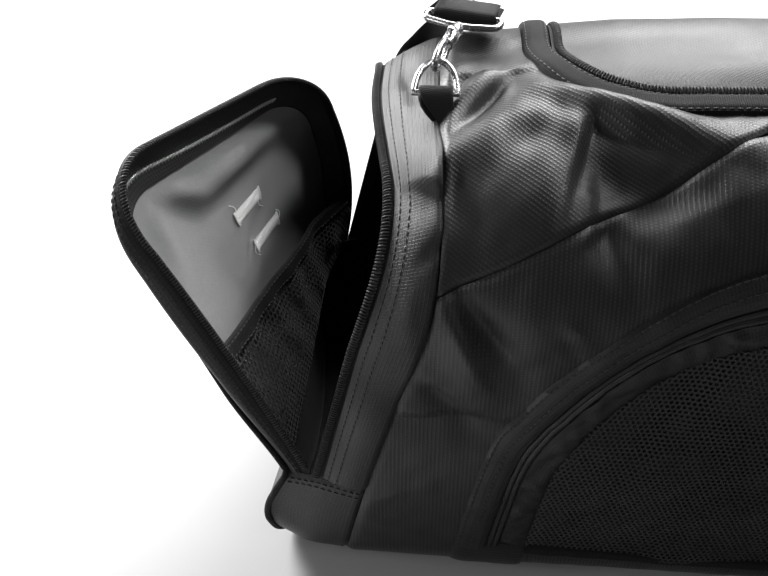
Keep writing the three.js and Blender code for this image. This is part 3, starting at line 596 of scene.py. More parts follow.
def half_outline(section, run):
    """Distances out and up on one half of a section, with the direction straight out of the cloth."""
    base, foot_arc, side, shoulder_arc, top = stretches(section)
    after_base = run - base
    after_foot = after_base - foot_arc
    after_side = after_foot - side
    after_shoulder = np.minimum(after_side - shoulder_arc, top)
    foot_angle = after_base / section.foot
    shoulder_angle = after_side / section.shoulder
    crown = section.crown * (1 - np.cos(math.pi * after_shoulder / top)) / 2
    tests = [run <= base, after_base <= foot_arc, after_foot <= side, after_side <= shoulder_arc]
    nothing = np.zeros_like(run)
    out = np.select(tests, [
        run,
        base + section.foot * np.sin(foot_angle),
        section.half_depth + section.bulge * np.sin(math.pi * after_foot / side) ** 2,
        top + section.shoulder * np.cos(shoulder_angle),
    ], top - after_shoulder)
    up = np.select(tests, [
        nothing,
        section.foot * (1 - np.cos(foot_angle)),
        section.foot + after_foot,
        section.height - section.shoulder * (1 - np.sin(shoulder_angle)),
    ], section.height + crown)
    outward = np.select(tests, [
        nothing,
        np.sin(foot_angle),
        nothing + 1,
        np.cos(shoulder_angle),
    ], nothing)
    upward = np.select(tests, [
        nothing - 1,
        -np.cos(foot_angle),
        nothing,
        np.sin(shoulder_angle),
    ], nothing + 1)
    return out, up, outward, upward


def fold_height(folds, x, girth):
    """Height of the folds above the smooth body, alike at both ends. Girth is measured up the front."""
    height = 0
    for fold in folds:
        along, aside = turned(fold.x - np.abs(x), girth - fold.girth, fold.turn)
        aside = np.abs(aside) / fold.width
        slope = aside * aside / (CREST_WIDTH + aside) if fold.sharp else aside * aside
        height = height + fold.height * bell(along, fold.length) * np.exp(-slope)
    return height


def tuck_height(rows, along, across):
    """Height of the tucks, which come sharply at one edge and go slowly."""
    height = 0
    for tuck in rows:
        gone, aside = turned(along - tuck.along, across - tuck.across, tuck.turn)
        first = bell(gone, np.where(gone < 0, tuck.start, tuck.length))
        height = height + tuck.height * first * bell(aside, np.where(aside > 0, tuck.lead, tuck.width))
    return height


def along_at(x, y, up):
    section = section_at(x)
    pushed = smoothstep(y, -section.half_depth, FLARE_BACK) - FLARE_DRAW
    flared = section.flare * smoothstep(up, FLARE_FROM, SHOULDER_HEIGHT) * pushed
    return x * (1 - TAPER * np.minimum(up / SHOULDER_HEIGHT, 1)) + np.sign(x) * flared


def body_point(x, girth, lift=0.0, folds=MAIN_FOLDS):
    """Point of the body. Girth runs up the front and over the top to the back, or up the back below 0."""
    x, girth = arrays(x, girth)
    section = section_at(x)
    on_back = (girth < 0) | (girth > half_girth(section))
    run = run_at(section, girth)
    out, up, outward, upward = half_outline(section, run)
    side = np.where(on_back, 1.0, -1.0)
    raised = lift + np.where(on_back, 0.0, fold_height(folds, x, run))
    z = up + section.rise * np.maximum(0, 1 - up / RISE_TO)
    along = along_at(x, side * out, up)
    return np.stack([along, side * (out + outward * raised), z + upward * raised], axis=-1)


def top_point(x, y, lift=0.0):
    """Point on the top of the bag from its place in plan."""
    x, y = arrays(x, y)
    section = section_at(x / (1 - TAPER))
    flat = section.half_depth - section.shoulder
    beyond = np.abs(y) - flat
    drop = np.sqrt(np.maximum(section.shoulder ** 2 - np.maximum(beyond, 0) ** 2, 0))
    crown = section.crown * (1 - np.cos(math.pi * np.clip(-beyond / flat, 0, 1))) / 2
    up = np.where(beyond > 0, section.height - section.shoulder + drop, section.height + crown)
    return np.stack([x, y, up + lift], axis=-1)


def seam_at(girth):
    run = run_at(section_at(SEAM), girth)
    return SEAM - SEAM_BOW * bell(run - SEAM_BOW_GIRTH, SEAM_BOW_WIDTH)


def chevron_at(x):
    return np.minimum(CHEVRON_TOP, CHEVRON_GIRTH + CHEVRON_SLOPE * (SEAM - np.abs(x)))


def hinge_height(x):
    return HINGE_HEIGHT - HINGE_DROP * np.abs(np.abs(x) - RIM)


# Surface of the flap


def flap_point(across, up, depth):
    across, up, depth = arrays(across, up, depth)
    part = up / FLAP.height
    lean = LEAN + LEAN_GAIN * part
    yaw = YAW * part
    tilt = TILT * part
    sideways = np.stack([np.sin(yaw) * np.cos(tilt), np.cos(yaw) * np.cos(tilt), np.sin(tilt)], axis=-1)
    upwards = np.stack([-np.sin(lean), 0 * lean, np.cos(lean)], axis=-1)
    outwards = unit(np.cross(upwards, sideways))
    hinge = np.array([HINGE_X, 0, HINGE_HEIGHT])
    return hinge + upwards * up[..., None] + sideways * across[..., None] + outwards * depth[..., None]


def outline_stretches(shape):
    """Lengths from a hinge to the middle of the flap's top."""
    return shape.height - shape.corner, shape.corner * math.pi / 2, shape.top_half_width - shape.corner


def flap_outline(shape, part, inset):
    """Outline of the flap from the front hinge over the top to the back hinge, drawn in by inset."""
    part, inset = arrays(part, inset)
    side, arc, top = outline_stretches(shape)
    run, sign = out_and_back(part, side + arc + top)
    angle = (run - side) / shape.corner
    radius = shape.corner - inset
    tests = [run <= side, run <= side + arc]
    across = np.select(tests, [
        lerp(shape.half_width, shape.top_half_width, run / side) - inset,
        top + radius * np.cos(angle),
    ], side + arc + top - run)
    up = np.select(tests, [run, side + radius * np.sin(angle)], shape.height - inset)
    return sign * across, up


def outline_length(shape):
    return 2 * sum(outline_stretches(shape))


def strip_part(shape, part, end_room):
    total = outline_length(shape)
    return lerp(FLAP_START / total, 1 - end_room / total, part)


def panel_depth(up):
    return lerp(PANEL_HINGE_DEPTH, PANEL_DEPTH, smoothstep(up, 0, PANEL_DEPTH_BY))


def panel_half_width(up):
    side = PANEL.height - PANEL.corner
    beyond = np.clip(up - side, 0, PANEL.corner)
    straight = lerp(PANEL.half_width, PANEL.top_half_width, np.clip(up / side, 0, 1))
    curved = PANEL.top_half_width - PANEL.corner + np.sqrt(np.maximum(PANEL.corner ** 2 - beyond ** 2, 0))
    return np.where(up <= side, straight, curved)


def hem_at(across):
    return lerp(HEM_NEAR, HEM_FAR, (across + PANEL.half_width) / (2 * PANEL.half_width))


def dent_depth(rows, across, up):
    depth = 0
    for dent in rows:
        along, over = turned(across - dent.across, up - dent.up, dent.turn)
        depth = depth + dent.depth * bell(along, dent.length) * bell(over, dent.width)
    return depth


def pocket_arch(part, inset):
    """Arch of the front pocket from its left foot to its right foot, as place along the bag and girth."""
    part, inset = arrays(part, inset)
    straight = POCKET_SPRING - POCKET_BOTTOM
    bend = POCKET_BEND * POCKET_RISE
    run, sign = out_and_back(part, straight + bend)
    width = POCKET_HALF_WIDTH - inset
    angle = np.maximum(run - straight, 0) / bend * (math.pi / 2)
    curved = POCKET_SPRING + (POCKET_RISE - inset) * np.sin(angle)
    return sign * width * np.cos(angle), np.where(run <= straight, POCKET_BOTTOM + run, curved)


def lid_outline(part, inset):
    """Outline of the lid's zip in plan, from the back left by way of the front, drawn in by inset."""
    part, inset = arrays(part, inset)
    side = LID_BACK - LID_FRONT - LID_CORNER
    arc = LID_CORNER * math.pi / 2
    front = LID_HALF_LENGTH - LID_CORNER
    run, sign = out_and_back(part, side + arc + front)
    radius = LID_CORNER - inset
    angle = (run - side) / LID_CORNER
    tests = [run <= side, run <= side + arc]
    x = np.select(tests, [LID_HALF_LENGTH - inset, front + radius * np.cos(angle)], side + arc + front - run)
    y = np.select(tests, [
        LID_BACK - run,
        LID_FRONT + LID_CORNER - radius * np.sin(angle),
    ], LID_FRONT + inset)
    return sign * x, y


def lid_inset(x, y):
    """Distance inside the lid's outline."""
    straight = np.minimum(np.minimum(LID_HALF_LENGTH - np.abs(x), y - LID_FRONT), LID_BACK - y)
    aside = np.abs(x) - (LID_HALF_LENGTH - LID_CORNER)
    ahead = LID_FRONT + LID_CORNER - y
    return np.where((aside > 0) & (ahead > 0), LID_CORNER - np.hypot(aside, ahead), straight)


def hardware_point(sign, side, y, lift):
    """Point above the top of one body seam, where side runs towards the middle of the bag."""
    side, y, lift = arrays(side, y, lift)
    base = top_point(HARDWARE_X, BAR_Y, HARDWARE_LIFT)[2]
    return np.stack([sign * (HARDWARE_X - side), y, base + lift], axis=-1)


def hook_point(sign, side, along, lift):
    """Point on a hook, which swings towards the middle round the tip of the ring."""
    side, along, lift = arrays(side, along, lift)
    inward, reach = turned(side, along, HOOK_SWING)
    return hardware_point(sign, inward, BAR_Y + RING_LENGTH + reach, RING_RISE + lift)


# Making and finishing pieces


def to_mode(mode):
    bpy.ops.object.mode_set(mode=mode)


def activate(piece):
    bpy.ops.object.select_all(action="DESELECT")
    piece.select_set(True)
    bpy.context.view_layer.objects.active = piece


def smooth(piece, degrees=50):
    activate(piece)
    bpy.ops.object.shade_smooth_by_angle(angle=math.radians(degrees))


def apply_modifiers(piece):
    activate(piece)
    for modifier in list(piece.modifiers):
        bpy.ops.object.modifier_apply(modifier=modifier.name)


def thicken(piece, wall):
    """Give a sheet its wall, on the inner side."""
    modifier = piece.modifiers.new("wall", "SOLIDIFY")
    modifier.thickness = wall
    modifier.offset = -1.0
    apply_modifiers(piece)


def finish_piece(piece, finish, slot, *nodes):
    piece.data.materials.clear()
    piece.data.materials.append(MATERIALS[finish])
    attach(piece, BODY)
    if nodes:
        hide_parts(*nodes)
    return piece


def merge(piece, distance):
    """Sew together the vertices that lie closer than a distance."""
    activate(piece)
    to_mode("EDIT")
    bpy.ops.mesh.select_all(action="SELECT")
    bpy.ops.mesh.remove_doubles(threshold=distance)
    to_mode("OBJECT")


def edit_faces(piece, picked):
    """Go into edit mode with just the picked faces selected."""
    activate(piece)
    to_mode("EDIT")
    bpy.ops.mesh.select_mode(type="FACE")
    bpy.ops.mesh.select_all(action="DESELECT")
    to_mode("OBJECT")
    piece.data.polygons.foreach_set("select", picked)
    to_mode("EDIT")


def delete_faces(piece, picks):
    """Delete the faces that a function picks out by their middles."""
    middles = np.empty(len(piece.data.polygons) * 3)
    piece.data.polygons.foreach_get("center", middles)
    edit_faces(piece, picks(*middles.reshape(-1, 3).T))
    bpy.ops.mesh.delete(type="FACE")
    to_mode("OBJECT")


def vertex_places(mesh):
    places = np.empty(len(mesh.vertices) * 3)
    mesh.vertices.foreach_get("co", places)
    return places.reshape(-1, 3)


def move_vertices(mesh, places):
    mesh.vertices.foreach_set("co", np.ascontiguousarray(places, dtype=np.float32).ravel())
    mesh.update()


def write_uvs(mesh, coordinates):
    """Write one pair of coordinates for each vertex, in metres along the cloth."""
    corners = np.empty(len(mesh.loops), dtype=np.int32)
    mesh.loops.foreach_get("vertex_index", corners)
    layer = mesh.uv_layers.active or mesh.uv_layers.new(name="UVMap")
    layer.data.foreach_set("uv", np.ascontiguousarray(coordinates[corners], dtype=np.float32).ravel())


def flat_texture(first, second):
    """Coordinates on a flat cloth of this size, from the parts gone along both directions."""
    return lambda along, across: (along * first, across * second)


def cloth_sheet(name, columns, rows, place, texture):
    """Grid whose points are laid on a surface. Both functions take the parts gone along and across it."""
    bpy.ops.object.select_all(action="DESELECT")
    bpy.ops.mesh.primitive_grid_add(x_subdivisions=columns, y_subdivisions=rows, size=1)
    piece = bpy.context.object
    piece.name = name
    piece.data.name = name
    flat = vertex_places(piece.data)
    along = np.clip(flat[:, 0] + 0.5, 0, 1)
    across = np.clip(flat[:, 1] + 0.5, 0, 1)
    move_vertices(piece.data, place(along, across))
    write_uvs(piece.data, np.stack(np.broadcast_arrays(*texture(along, across)), axis=-1))
    return piece


def tube(name, points, radius, closed=False, roundness=2, swell=None):
    """Round wire along points, as a mesh. Swell gives the radius at each point as a multiple."""
    curve = bpy.data.curves.new(name, "CURVE")
    curve.dimensions = "3D"
    curve.bevel_depth = radius
    curve.bevel_resolution = roundness
    curve.use_fill_caps = not closed
    spline = curve.splines.new("POLY")
    spline.points.add(len(points) - 1)
    homogeneous = np.concatenate([points, np.ones((len(points), 1))], axis=1)
    spline.points.foreach_set("co", homogeneous.ravel())
    if swell is not None:
        spline.points.foreach_set("radius", np.asarray(swell, float))
    spline.use_cyclic_u = closed
    piece = bpy.data.objects.new(name, curve)
    bpy.context.scene.collection.objects.link(piece)
    activate(piece)
    bpy.ops.object.convert(target="MESH")
    piece = bpy.context.object
    smooth(piece)
    return piece


def join(name, pieces):
    bpy.ops.object.select_all(action="DESELECT")
    for piece in pieces:
        piece.select_set(True)
    bpy.context.view_layer.objects.active = pieces[0]
    bpy.ops.object.join()
    pieces[0].name = name
    pieces[0].data.name = name
    return pieces[0]


def spaced(points, step):
    """Parts along a line of points that lie one step apart."""
    gone = way(points)
    count = max(2, int(gone[-1] / step))
    targets = (np.arange(count) + 0.5) * gone[-1] / count
    return np.interp(targets, gone, np.linspace(0, 1, len(points)))


def first_fixed(value):
    """Route along the second direction of a surface, at one value of the first."""
    return lambda parts: (value + 0 * parts, parts)


def second_fixed(value):
    """Route along the first direction of a surface, at one value of the second."""
    return lambda parts: (parts, value + 0 * parts)


def frames_on(surface, route, parts):
    """Points, directions along a route and directions straight out of the surface that carries it."""
    nudge = 1e-4
    first, second = route(parts)
    points = surface(first, second)
    ahead = surface(*route(np.minimum(parts + nudge, 1)))
    behind = surface(*route(np.maximum(parts - nudge, 0)))
    forward = unit(ahead - behind)
    out = unit(np.cross(surface(first + nudge, second) - points, surface(first, second + nudge) - points))
    return points, forward, out


def grain(thread, stitch):
    """One stitch, lying along X and raised in the middle, as points and faces."""
    sides = 6
    rings = ((-0.42, 0.7), (0.0, 1.0), (0.42, 0.7))
    points = [(-0.5 * stitch, 0, 0)]
    for place, swell in rings:
        for side in range(sides):
            angle = 2 * math.pi * side / sides
            radius = thread * swell
            points.append((place * stitch, radius * math.cos(angle), radius * math.sin(angle)))
    points.append((0.5 * stitch, 0, 0))
    last = len(points) - 1
    faces = []
    for side in range(sides):
        following = (side + 1) % sides
        faces.append((0, 1 + following, 1 + side))
        for ring in range(len(rings) - 1):
            here = 1 + ring * sides
            faces.append((here + side, here + following, here + sides + following, here + sides + side))
        faces.append((last, last - sides + side, last - sides + following))
    return np.array(points), faces


def stitch_row(surface, route, turn=0.0, pitch=None, stitch=None, lift=0.0):
    """Places and directions of the stitches in one row, ready for stitch_piece."""
    cloth = settings().cloth
    samples = np.linspace(0, 1, LINE_SAMPLES)
    parts = spaced(surface(*route(samples)), pitch or cloth.stitch + cloth.stitch_gap)
    points, forward, out = frames_on(surface, route, parts)
    side = np.cross(out, forward)
    turned = forward * math.cos(turn) + side * math.sin(turn)
    return points + out * lift, turned, out, stitch or cloth.stitch


def stitch_piece(name, rows, finish="thread", thread=None):
    """All stitches of several rows as one piece."""
    radius = thread or settings().cloth.thread
    all_points = []
    all_faces = []
    start = 0
    for points, forward, out, stitch in rows:
        shape, faces = grain(radius, stitch)
        side = np.cross(out, forward)
        placed = (points[:, None] + forward[:, None] * shape[None, :, 0:1]
                  + side[:, None] * shape[None, :, 1:2] + out[:, None] * shape[None, :, 2:3])
        all_points.append(placed.reshape(-1, 3))
        for copy in range(len(points)):
            first = start + copy * len(shape)
            all_faces.extend(tuple(first + corner for corner in face) for face in faces)
        start += len(points) * len(shape)
    mesh = bpy.data.meshes.new(name)
    mesh.from_pydata(np.concatenate(all_points).tolist(), [], all_faces)
    piece = bpy.data.objects.new(name, mesh)
    bpy.context.scene.collection.objects.link(piece)
    smooth(piece, 80)
    return finish_piece(piece, finish, "webbing")


def coil(name, surface, route, lift):
    """Nylon coil of a zip along a route on a surface."""
    zips = settings().zips
    samples = np.linspace(0, 1, LINE_SAMPLES)
    gone = way(surface(*route(samples)))
    turns = int(gone[-1] / zips.pitch)
    points_in_turn = 9
    parts = np.interp(np.linspace(0, gone[-1], turns * points_in_turn), gone, samples)
    points, forward, out = frames_on(surface, route, parts)
    side = np.cross(out, forward)
    angle = 2 * math.pi * np.arange(len(parts))[:, None] / points_in_turn
    rise = lift + zips.half_height * np.sin(angle)
    piece = tube(name, points + side * zips.half_width * np.cos(angle) + out * rise, zips.wire, roundness=1)
    return finish_piece(piece, "coil", "zip_coil")


# Nodes of the materials


def put(tree, kind, inputs=None, **values):
    made = tree.nodes.new(kind)
    for name, value in values.items():
        setattr(made, name, value)
    for name, value in (inputs or {}).items():
        if isinstance(value, bpy.types.NodeSocket):
            tree.links.new(value, made.inputs[name])
        else:
            made.inputs[name].default_value = value
    return made


def calc(tree, operation, first, second=0.0):
    return put(tree, "ShaderNodeMath", {0: first, 1: second}, operation=operation).outputs[0]


def times(tree, first, second):
    return calc(tree, "MULTIPLY", first, second)


def ramp(tree, value, low, high, to_low=0.0, to_high=1.0):
    inputs = {0: value, 1: low, 2: high, 3: to_low, 4: to_high}
    return put(tree, "ShaderNodeMapRange", inputs, interpolation_type="SMOOTHSTEP").outputs[0]


def between(tree, part, low, high):
    return ramp(tree, part, 0.0, 1.0, low, high)


def blend_colours(tree, part, first, second):
    return put(tree, "ShaderNodeMix", {0: part, 6: first, 7: second}, data_type="RGBA").outputs[2]


def new_group(name, inputs, outputs):
    """Empty node group with its named sockets. An input with no number of its own is a vector."""
    tree = bpy.data.node_groups.new(name, "ShaderNodeTree")
    for label, value in inputs.items():
        kind = "NodeSocketVector" if value is None else "NodeSocketFloat"
        socket = tree.interface.new_socket(name=label, in_out="INPUT", socket_type=kind)
        if value is not None:
            socket.default_value = value
    for label in outputs:
        tree.interface.new_socket(name=label, in_out="OUTPUT", socket_type="NodeSocketFloat")
    return tree, tree.nodes.new("NodeGroupInput").outputs, tree.nodes.new("NodeGroupOutput").inputs


def wave(tree, kind, place, turns):
    return calc(tree, kind, times(tree, place, turns))


def add_yarns(tree, axes, turns, count, share, raised):
    """Height of the raised lines with the yarns of a plain weave on it, so many to one pitch."""
    fine = times(tree, turns, count)
    warp = wave(tree, "SINE", axes[0], fine)
    weft = wave(tree, "SINE", axes[1], fine)
    return calc(tree, "ADD", raised, times(tree, times(tree, warp, weft), share))


def dobby_group():
    """Raised lines of the nylon, broken into staggered dashes, with the yarns between them."""
    inputs = {"Vector": None, "Pitch": 0.0021, "Turn": 0.0}
    tree, given, result = new_group("Dobby Weave", inputs, ["Height", "Dots"])
    slanted = put(tree, "ShaderNodeVectorRotate", {"Vector": given["Vector"], "Angle": given["Turn"]},
                  rotation_type="Z_AXIS").outputs[0]
    axes = put(tree, "ShaderNodeSeparateXYZ", {0: slanted}).outputs
    turns = calc(tree, "DIVIDE", 2 * math.pi, given["Pitch"])
    dashes = wave(tree, "COSINE", axes[0], times(tree, turns, DASH_SHARE))
    rows = wave(tree, "COSINE", axes[1], turns)
    stagger = wave(tree, "COSINE", axes[1], times(tree, turns, 0.5))
    broken = ramp(tree, times(tree, dashes, stagger), -1.0, 1.0, 0.3, 1.0)
    dots = times(tree, ramp(tree, rows, -0.4, 0.9), broken)
    tree.links.new(add_yarns(tree, axes, turns, 4.0, 0.16, dots), result["Height"])
    tree.links.new(dots, result["Dots"])
    return tree


def ripstop_group():
    """Plain weave with thicker yarns in a small grid."""
    tree, given, result = new_group("Ripstop Weave", {"Vector": None, "Pitch": 0.0022}, ["Height", "Lines"])
    axes = put(tree, "ShaderNodeSeparateXYZ", {0: given["Vector"]}).outputs
    turns = calc(tree, "DIVIDE", 2 * math.pi, given["Pitch"])
    first = wave(tree, "COSINE", axes[0], turns)
    second = wave(tree, "COSINE", axes[1], turns)
    lines = ramp(tree, calc(tree, "MAXIMUM", first, second), 0.55, 0.98)
    tree.links.new(add_yarns(tree, axes, turns, 5.0, 0.2, lines), result["Height"])
    tree.links.new(lines, result["Lines"])
    return tree


def tone_group():
    """Cloudy changes of tone and fine flecks, on the object's own coordinates."""
    inputs = {"Cloud Scale": 14.0, "Fleck Scale": 900.0}
    tree, given, result = new_group("Cloth Tone", inputs, ["Cloud", "Fleck"])
    place = put(tree, "ShaderNodeTexCoord").outputs["Object"]
    cloud = put(tree, "ShaderNodeTexNoise", {"Vector": place, "Scale": given["Cloud Scale"], "Detail": 4.0})
    fleck = put(tree, "ShaderNodeTexNoise", {"Vector": place, "Scale": given["Fleck Scale"], "Detail": 2.0})
    tree.links.new(ramp(tree, cloud.outputs[0], 0.3, 0.7), result["Cloud"])
    tree.links.new(ramp(tree, fleck.outputs[0], 0.35, 0.65), result["Fleck"])
    return tree


def tape_group():
    """Ribs of woven tape, running across it."""
    tree, given, result = new_group("Woven Tape", {"Vector": None, "Pitch": 0.0016}, ["Height", "Ribs"])
    axes = put(tree, "ShaderNodeSeparateXYZ", {0: given["Vector"]}).outputs
    turns = calc(tree, "DIVIDE", 2 * math.pi, given["Pitch"])
    across = wave(tree, "SINE", axes[1], times(tree, turns, 1.5))
    slant = calc(tree, "ADD", times(tree, axes[0], turns), across)
    ribs = ramp(tree, calc(tree, "SINE", slant), -0.6, 0.9)
    tree.links.new(ribs, result["Height"])
    tree.links.new(ribs, result["Ribs"])
    return tree


GROUPS = {}


def shared_group(name, build):
    if name not in GROUPS:
        GROUPS[name] = build()
    return GROUPS[name]


def use_group(tree, name, build, **inputs):
    """Node of a shared group. Names of its inputs use _ for a space."""
    named = {label.replace("_", " "): value for label, value in inputs.items()}
    return put(tree, "ShaderNodeGroup", named, node_tree=shared_group(name, build)).outputs


def new_material(name, **sockets):
    """Material with its shader, whose constant sockets are set here. Names use _ for a space."""
    material = bpy.data.materials.new(name)
    material.use_nodes = True
    tree = material.node_tree
    shader = tree.nodes["Principled BSDF"]
    for label, value in sockets.items():
        shader.inputs[label.replace("_", " ")].default_value = value
    return material, tree, shader.inputs


def own_uv(tree):
    return put(tree, "ShaderNodeUVMap", uv_map="UVMap").outputs[0]


def opaque(colour, share=1.0):
    return (colour[0] * share, colour[1] * share, colour[2] * share, 1.0)


def paint(tree, sockets, part, colour, low=1.0, high=1.0):
    """Set the base colour between two shades of one colour."""
    shade = blend_colours(tree, part, opaque(colour, low), opaque(colour, high))
    tree.links.new(shade, sockets["Base Color"])


def add_bump(tree, sockets, height, distance):
    bump = put(tree, "ShaderNodeBump", {"Height": height, "Distance": distance, "Strength": 1.0})
    tree.links.new(bump.outputs[0], sockets["Normal"])


def flecked(tree, height, tone, share):
    """Height with some of the flecks on it."""
    return calc(tree, "ADD", height, times(tree, tone["Fleck"], share))


CLOTH_SHADER = {"Sheen_Weight": 0.04, "Sheen_Roughness": 0.4, "Specular_IOR_Level": 0.5}


def nylon_material(name, turn, light=1.9):
    """Black nylon with raised lines of dashes that catch the light."""
    material, tree, sockets = new_material(name, **CLOTH_SHADER)
    weave = use_group(tree, "dobby", dobby_group, Vector=own_uv(tree), Pitch=settings().cloth.weave_pitch,
                      Turn=math.radians(turn))
    tone = use_group(tree, "tone", tone_group)
    part = times(tree, weave["Dots"], between(tree, tone["Cloud"], 0.75, 1.0))
    part = times(tree, part, between(tree, tone["Fleck"], 0.8, 1.0))
    paint(tree, sockets, part, settings().finish.cloth, high=light)
    cloudy = between(tree, tone["Cloud"], -0.04, 0.04)
    rough = calc(tree, "ADD", between(tree, weave["Dots"], 0.45, 0.33), cloudy)
    tree.links.new(rough, sockets["Roughness"])
    add_bump(tree, sockets, flecked(tree, weave["Height"], tone, 0.2), 0.00012)
    return material


def ripstop_material(name, colour, light=1.7):
    """Plain black ripstop of the bands and gussets."""
    material, tree, sockets = new_material(name, **CLOTH_SHADER)
    weave = use_group(tree, "ripstop", ripstop_group, Vector=own_uv(tree))
    tone = use_group(tree, "tone", tone_group)
    part = times(tree, weave["Lines"], between(tree, tone["Cloud"], 0.7, 1.0))
    paint(tree, sockets, part, colour, high=light)
    cloudy = between(tree, tone["Cloud"], -0.05, 0.05)
    rough = calc(tree, "ADD", between(tree, weave["Lines"], 0.44, 0.36), cloudy)
    tree.links.new(rough, sockets["Roughness"])
    add_bump(tree, sockets, flecked(tree, weave["Height"], tone, 0.3), 0.00011)
    return material


def coated_material():
    """Grey coating on the inner face of the end cloth: smooth, with faint clouds and a trace of weave."""
    material, tree, sockets = new_material("coated cloth", Specular_IOR_Level=0.45)
    weave = use_group(tree, "dobby", dobby_group, Vector=own_uv(tree), Pitch=0.0022, Turn=0.6)
    tone = use_group(tree, "tone", tone_group, Cloud_Scale=9.0, Fleck_Scale=420.0)
    part = times(tree, tone["Cloud"], between(tree, tone["Fleck"], 0.7, 1.0))
    paint(tree, sockets, part, settings().finish.coated, 0.86, 1.08)
    tree.links.new(between(tree, tone["Cloud"], 0.42, 0.56), sockets["Roughness"])
    add_bump(tree, sockets, flecked(tree, weave["Height"], tone, 0.5), 0.00002)
    return material


def tape_material(name, colour, pitch=0.0009, light=1.8, rough=(0.75, 0.55), shine=0.15):
    """Woven tape and webbing."""
    material, tree, sockets = new_material(name, Sheen_Weight=0.04, Specular_IOR_Level=shine)
    weave = use_group(tree, "tape", tape_group, Vector=own_uv(tree), Pitch=pitch)
    tone = use_group(tree, "tone", tone_group)
    part = times(tree, weave["Ribs"], between(tree, tone["Fleck"], 0.6, 1.0))
    paint(tree, sockets, part, colour, high=light)
    tree.links.new(between(tree, weave["Ribs"], *rough), sockets["Roughness"])
    add_bump(tree, sockets, flecked(tree, weave["Height"], tone, 0.3), 0.00014)
    return material


def yarn_material(name, colour, light=1.6, rough=(0.7, 0.5), sheen=0.2, shine=0.4):
    """Threads, net yarns and piping: fine flecks on the object's own coordinates."""
    material, tree, sockets = new_material(name, Sheen_Weight=sheen, Specular_IOR_Level=shine)
    tone = use_group(tree, "tone", tone_group, Cloud_Scale=40.0, Fleck_Scale=1500.0)
    part = times(tree, tone["Fleck"], between(tree, tone["Cloud"], 0.5, 1.0))
    paint(tree, sockets, part, colour, high=light)
    tree.links.new(between(tree, tone["Cloud"], *rough), sockets["Roughness"])
    add_bump(tree, sockets, tone["Fleck"], 0.0001)
    return material


def coil_material():
    """Smooth nylon wire of the zips."""
    material, tree, sockets = new_material("zip coil", Specular_IOR_Level=0.25)
    tone = use_group(tree, "tone", tone_group, Cloud_Scale=60.0, Fleck_Scale=700.0)
    paint(tree, sockets, tone["Cloud"], settings().finish.coil, 0.8, 1.4)
    tree.links.new(between(tree, tone["Fleck"], 0.48, 0.62), sockets["Roughness"])
    return material


def metal_material():
    """Bright plating with fine scuffs."""
    material, tree, sockets = new_material("bright metal", Metallic=1.0)
    tone = use_group(tree, "tone", tone_group, Cloud_Scale=120.0, Fleck_Scale=1400.0)
    paint(tree, sockets, tone["Cloud"], settings().finish.metal, 0.85)
    scuffs = times(tree, tone["Fleck"], tone["Cloud"])
    tree.links.new(ramp(tree, scuffs, 0.2, 0.9, 0.24, 0.44), sockets["Roughness"])
    add_bump(tree, sockets, scuffs, 0.00002)
    return material


MATERIALS = {}


def make_materials():
    finish = settings().finish
    tape = finish.webbing
    MATERIALS.update({
        "upper": nylon_material("nylon, slanted", 33),
        "lower": nylon_material("nylon, upright", 90, light=2.8),
        "band": ripstop_material("ripstop", opaque(finish.cloth, 0.75)),
        # Flap wall: the same black cloth at twice its tone, painted light that stands in for lamp light the
        # wall does not get
        "wall": ripstop_material("flap wall, painted lighter", opaque(finish.cloth, 2.0)),
        "coated": coated_material(),
        # One net yarn in two copies: painted shade on the front pocket net (0.6 of its tone) and painted
        # light on the flap net (2.4 of its tone)
        "net": yarn_material("net yarn", opaque(finish.net, 0.6), 2.6, (0.55, 0.4)),
        "flap_net_painted_lighter": yarn_material("flap net, painted lighter", opaque(finish.net, 2.4), 2.4, (0.5, 0.35)),
        "webbing": tape_material("webbing", tape),
        "tape": tape_material("zip tape", tape, pitch=0.0011, light=2.2, rough=(0.62, 0.45)),
        "slick": tape_material("reversed zip tape", tape, rough=(0.34, 0.24), shine=0.6),
        "matt": tape_material("matt band", tape, pitch=0.0012, light=1.5, rough=(0.8, 0.65)),
        "piping": yarn_material("piping", tape, 1.6, (0.7, 0.55), sheen=0.0, shine=0.15),
        "coil": coil_material(),
        "metal": metal_material(),
        "thread": yarn_material("black thread", finish.thread, 2.0, (0.55, 0.4)),
        "pale": yarn_material("pale thread", finish.pale_thread, 0.95, (0.6, 0.5)),
        # Bound edge: the binding's grey partly its own and partly a painted sheen
        "bound": yarn_material("bound edge, lightened for sheen", BOUND_TINT_AND_SHEEN, 1.5, (0.5, 0.4)),
    })


# Stage


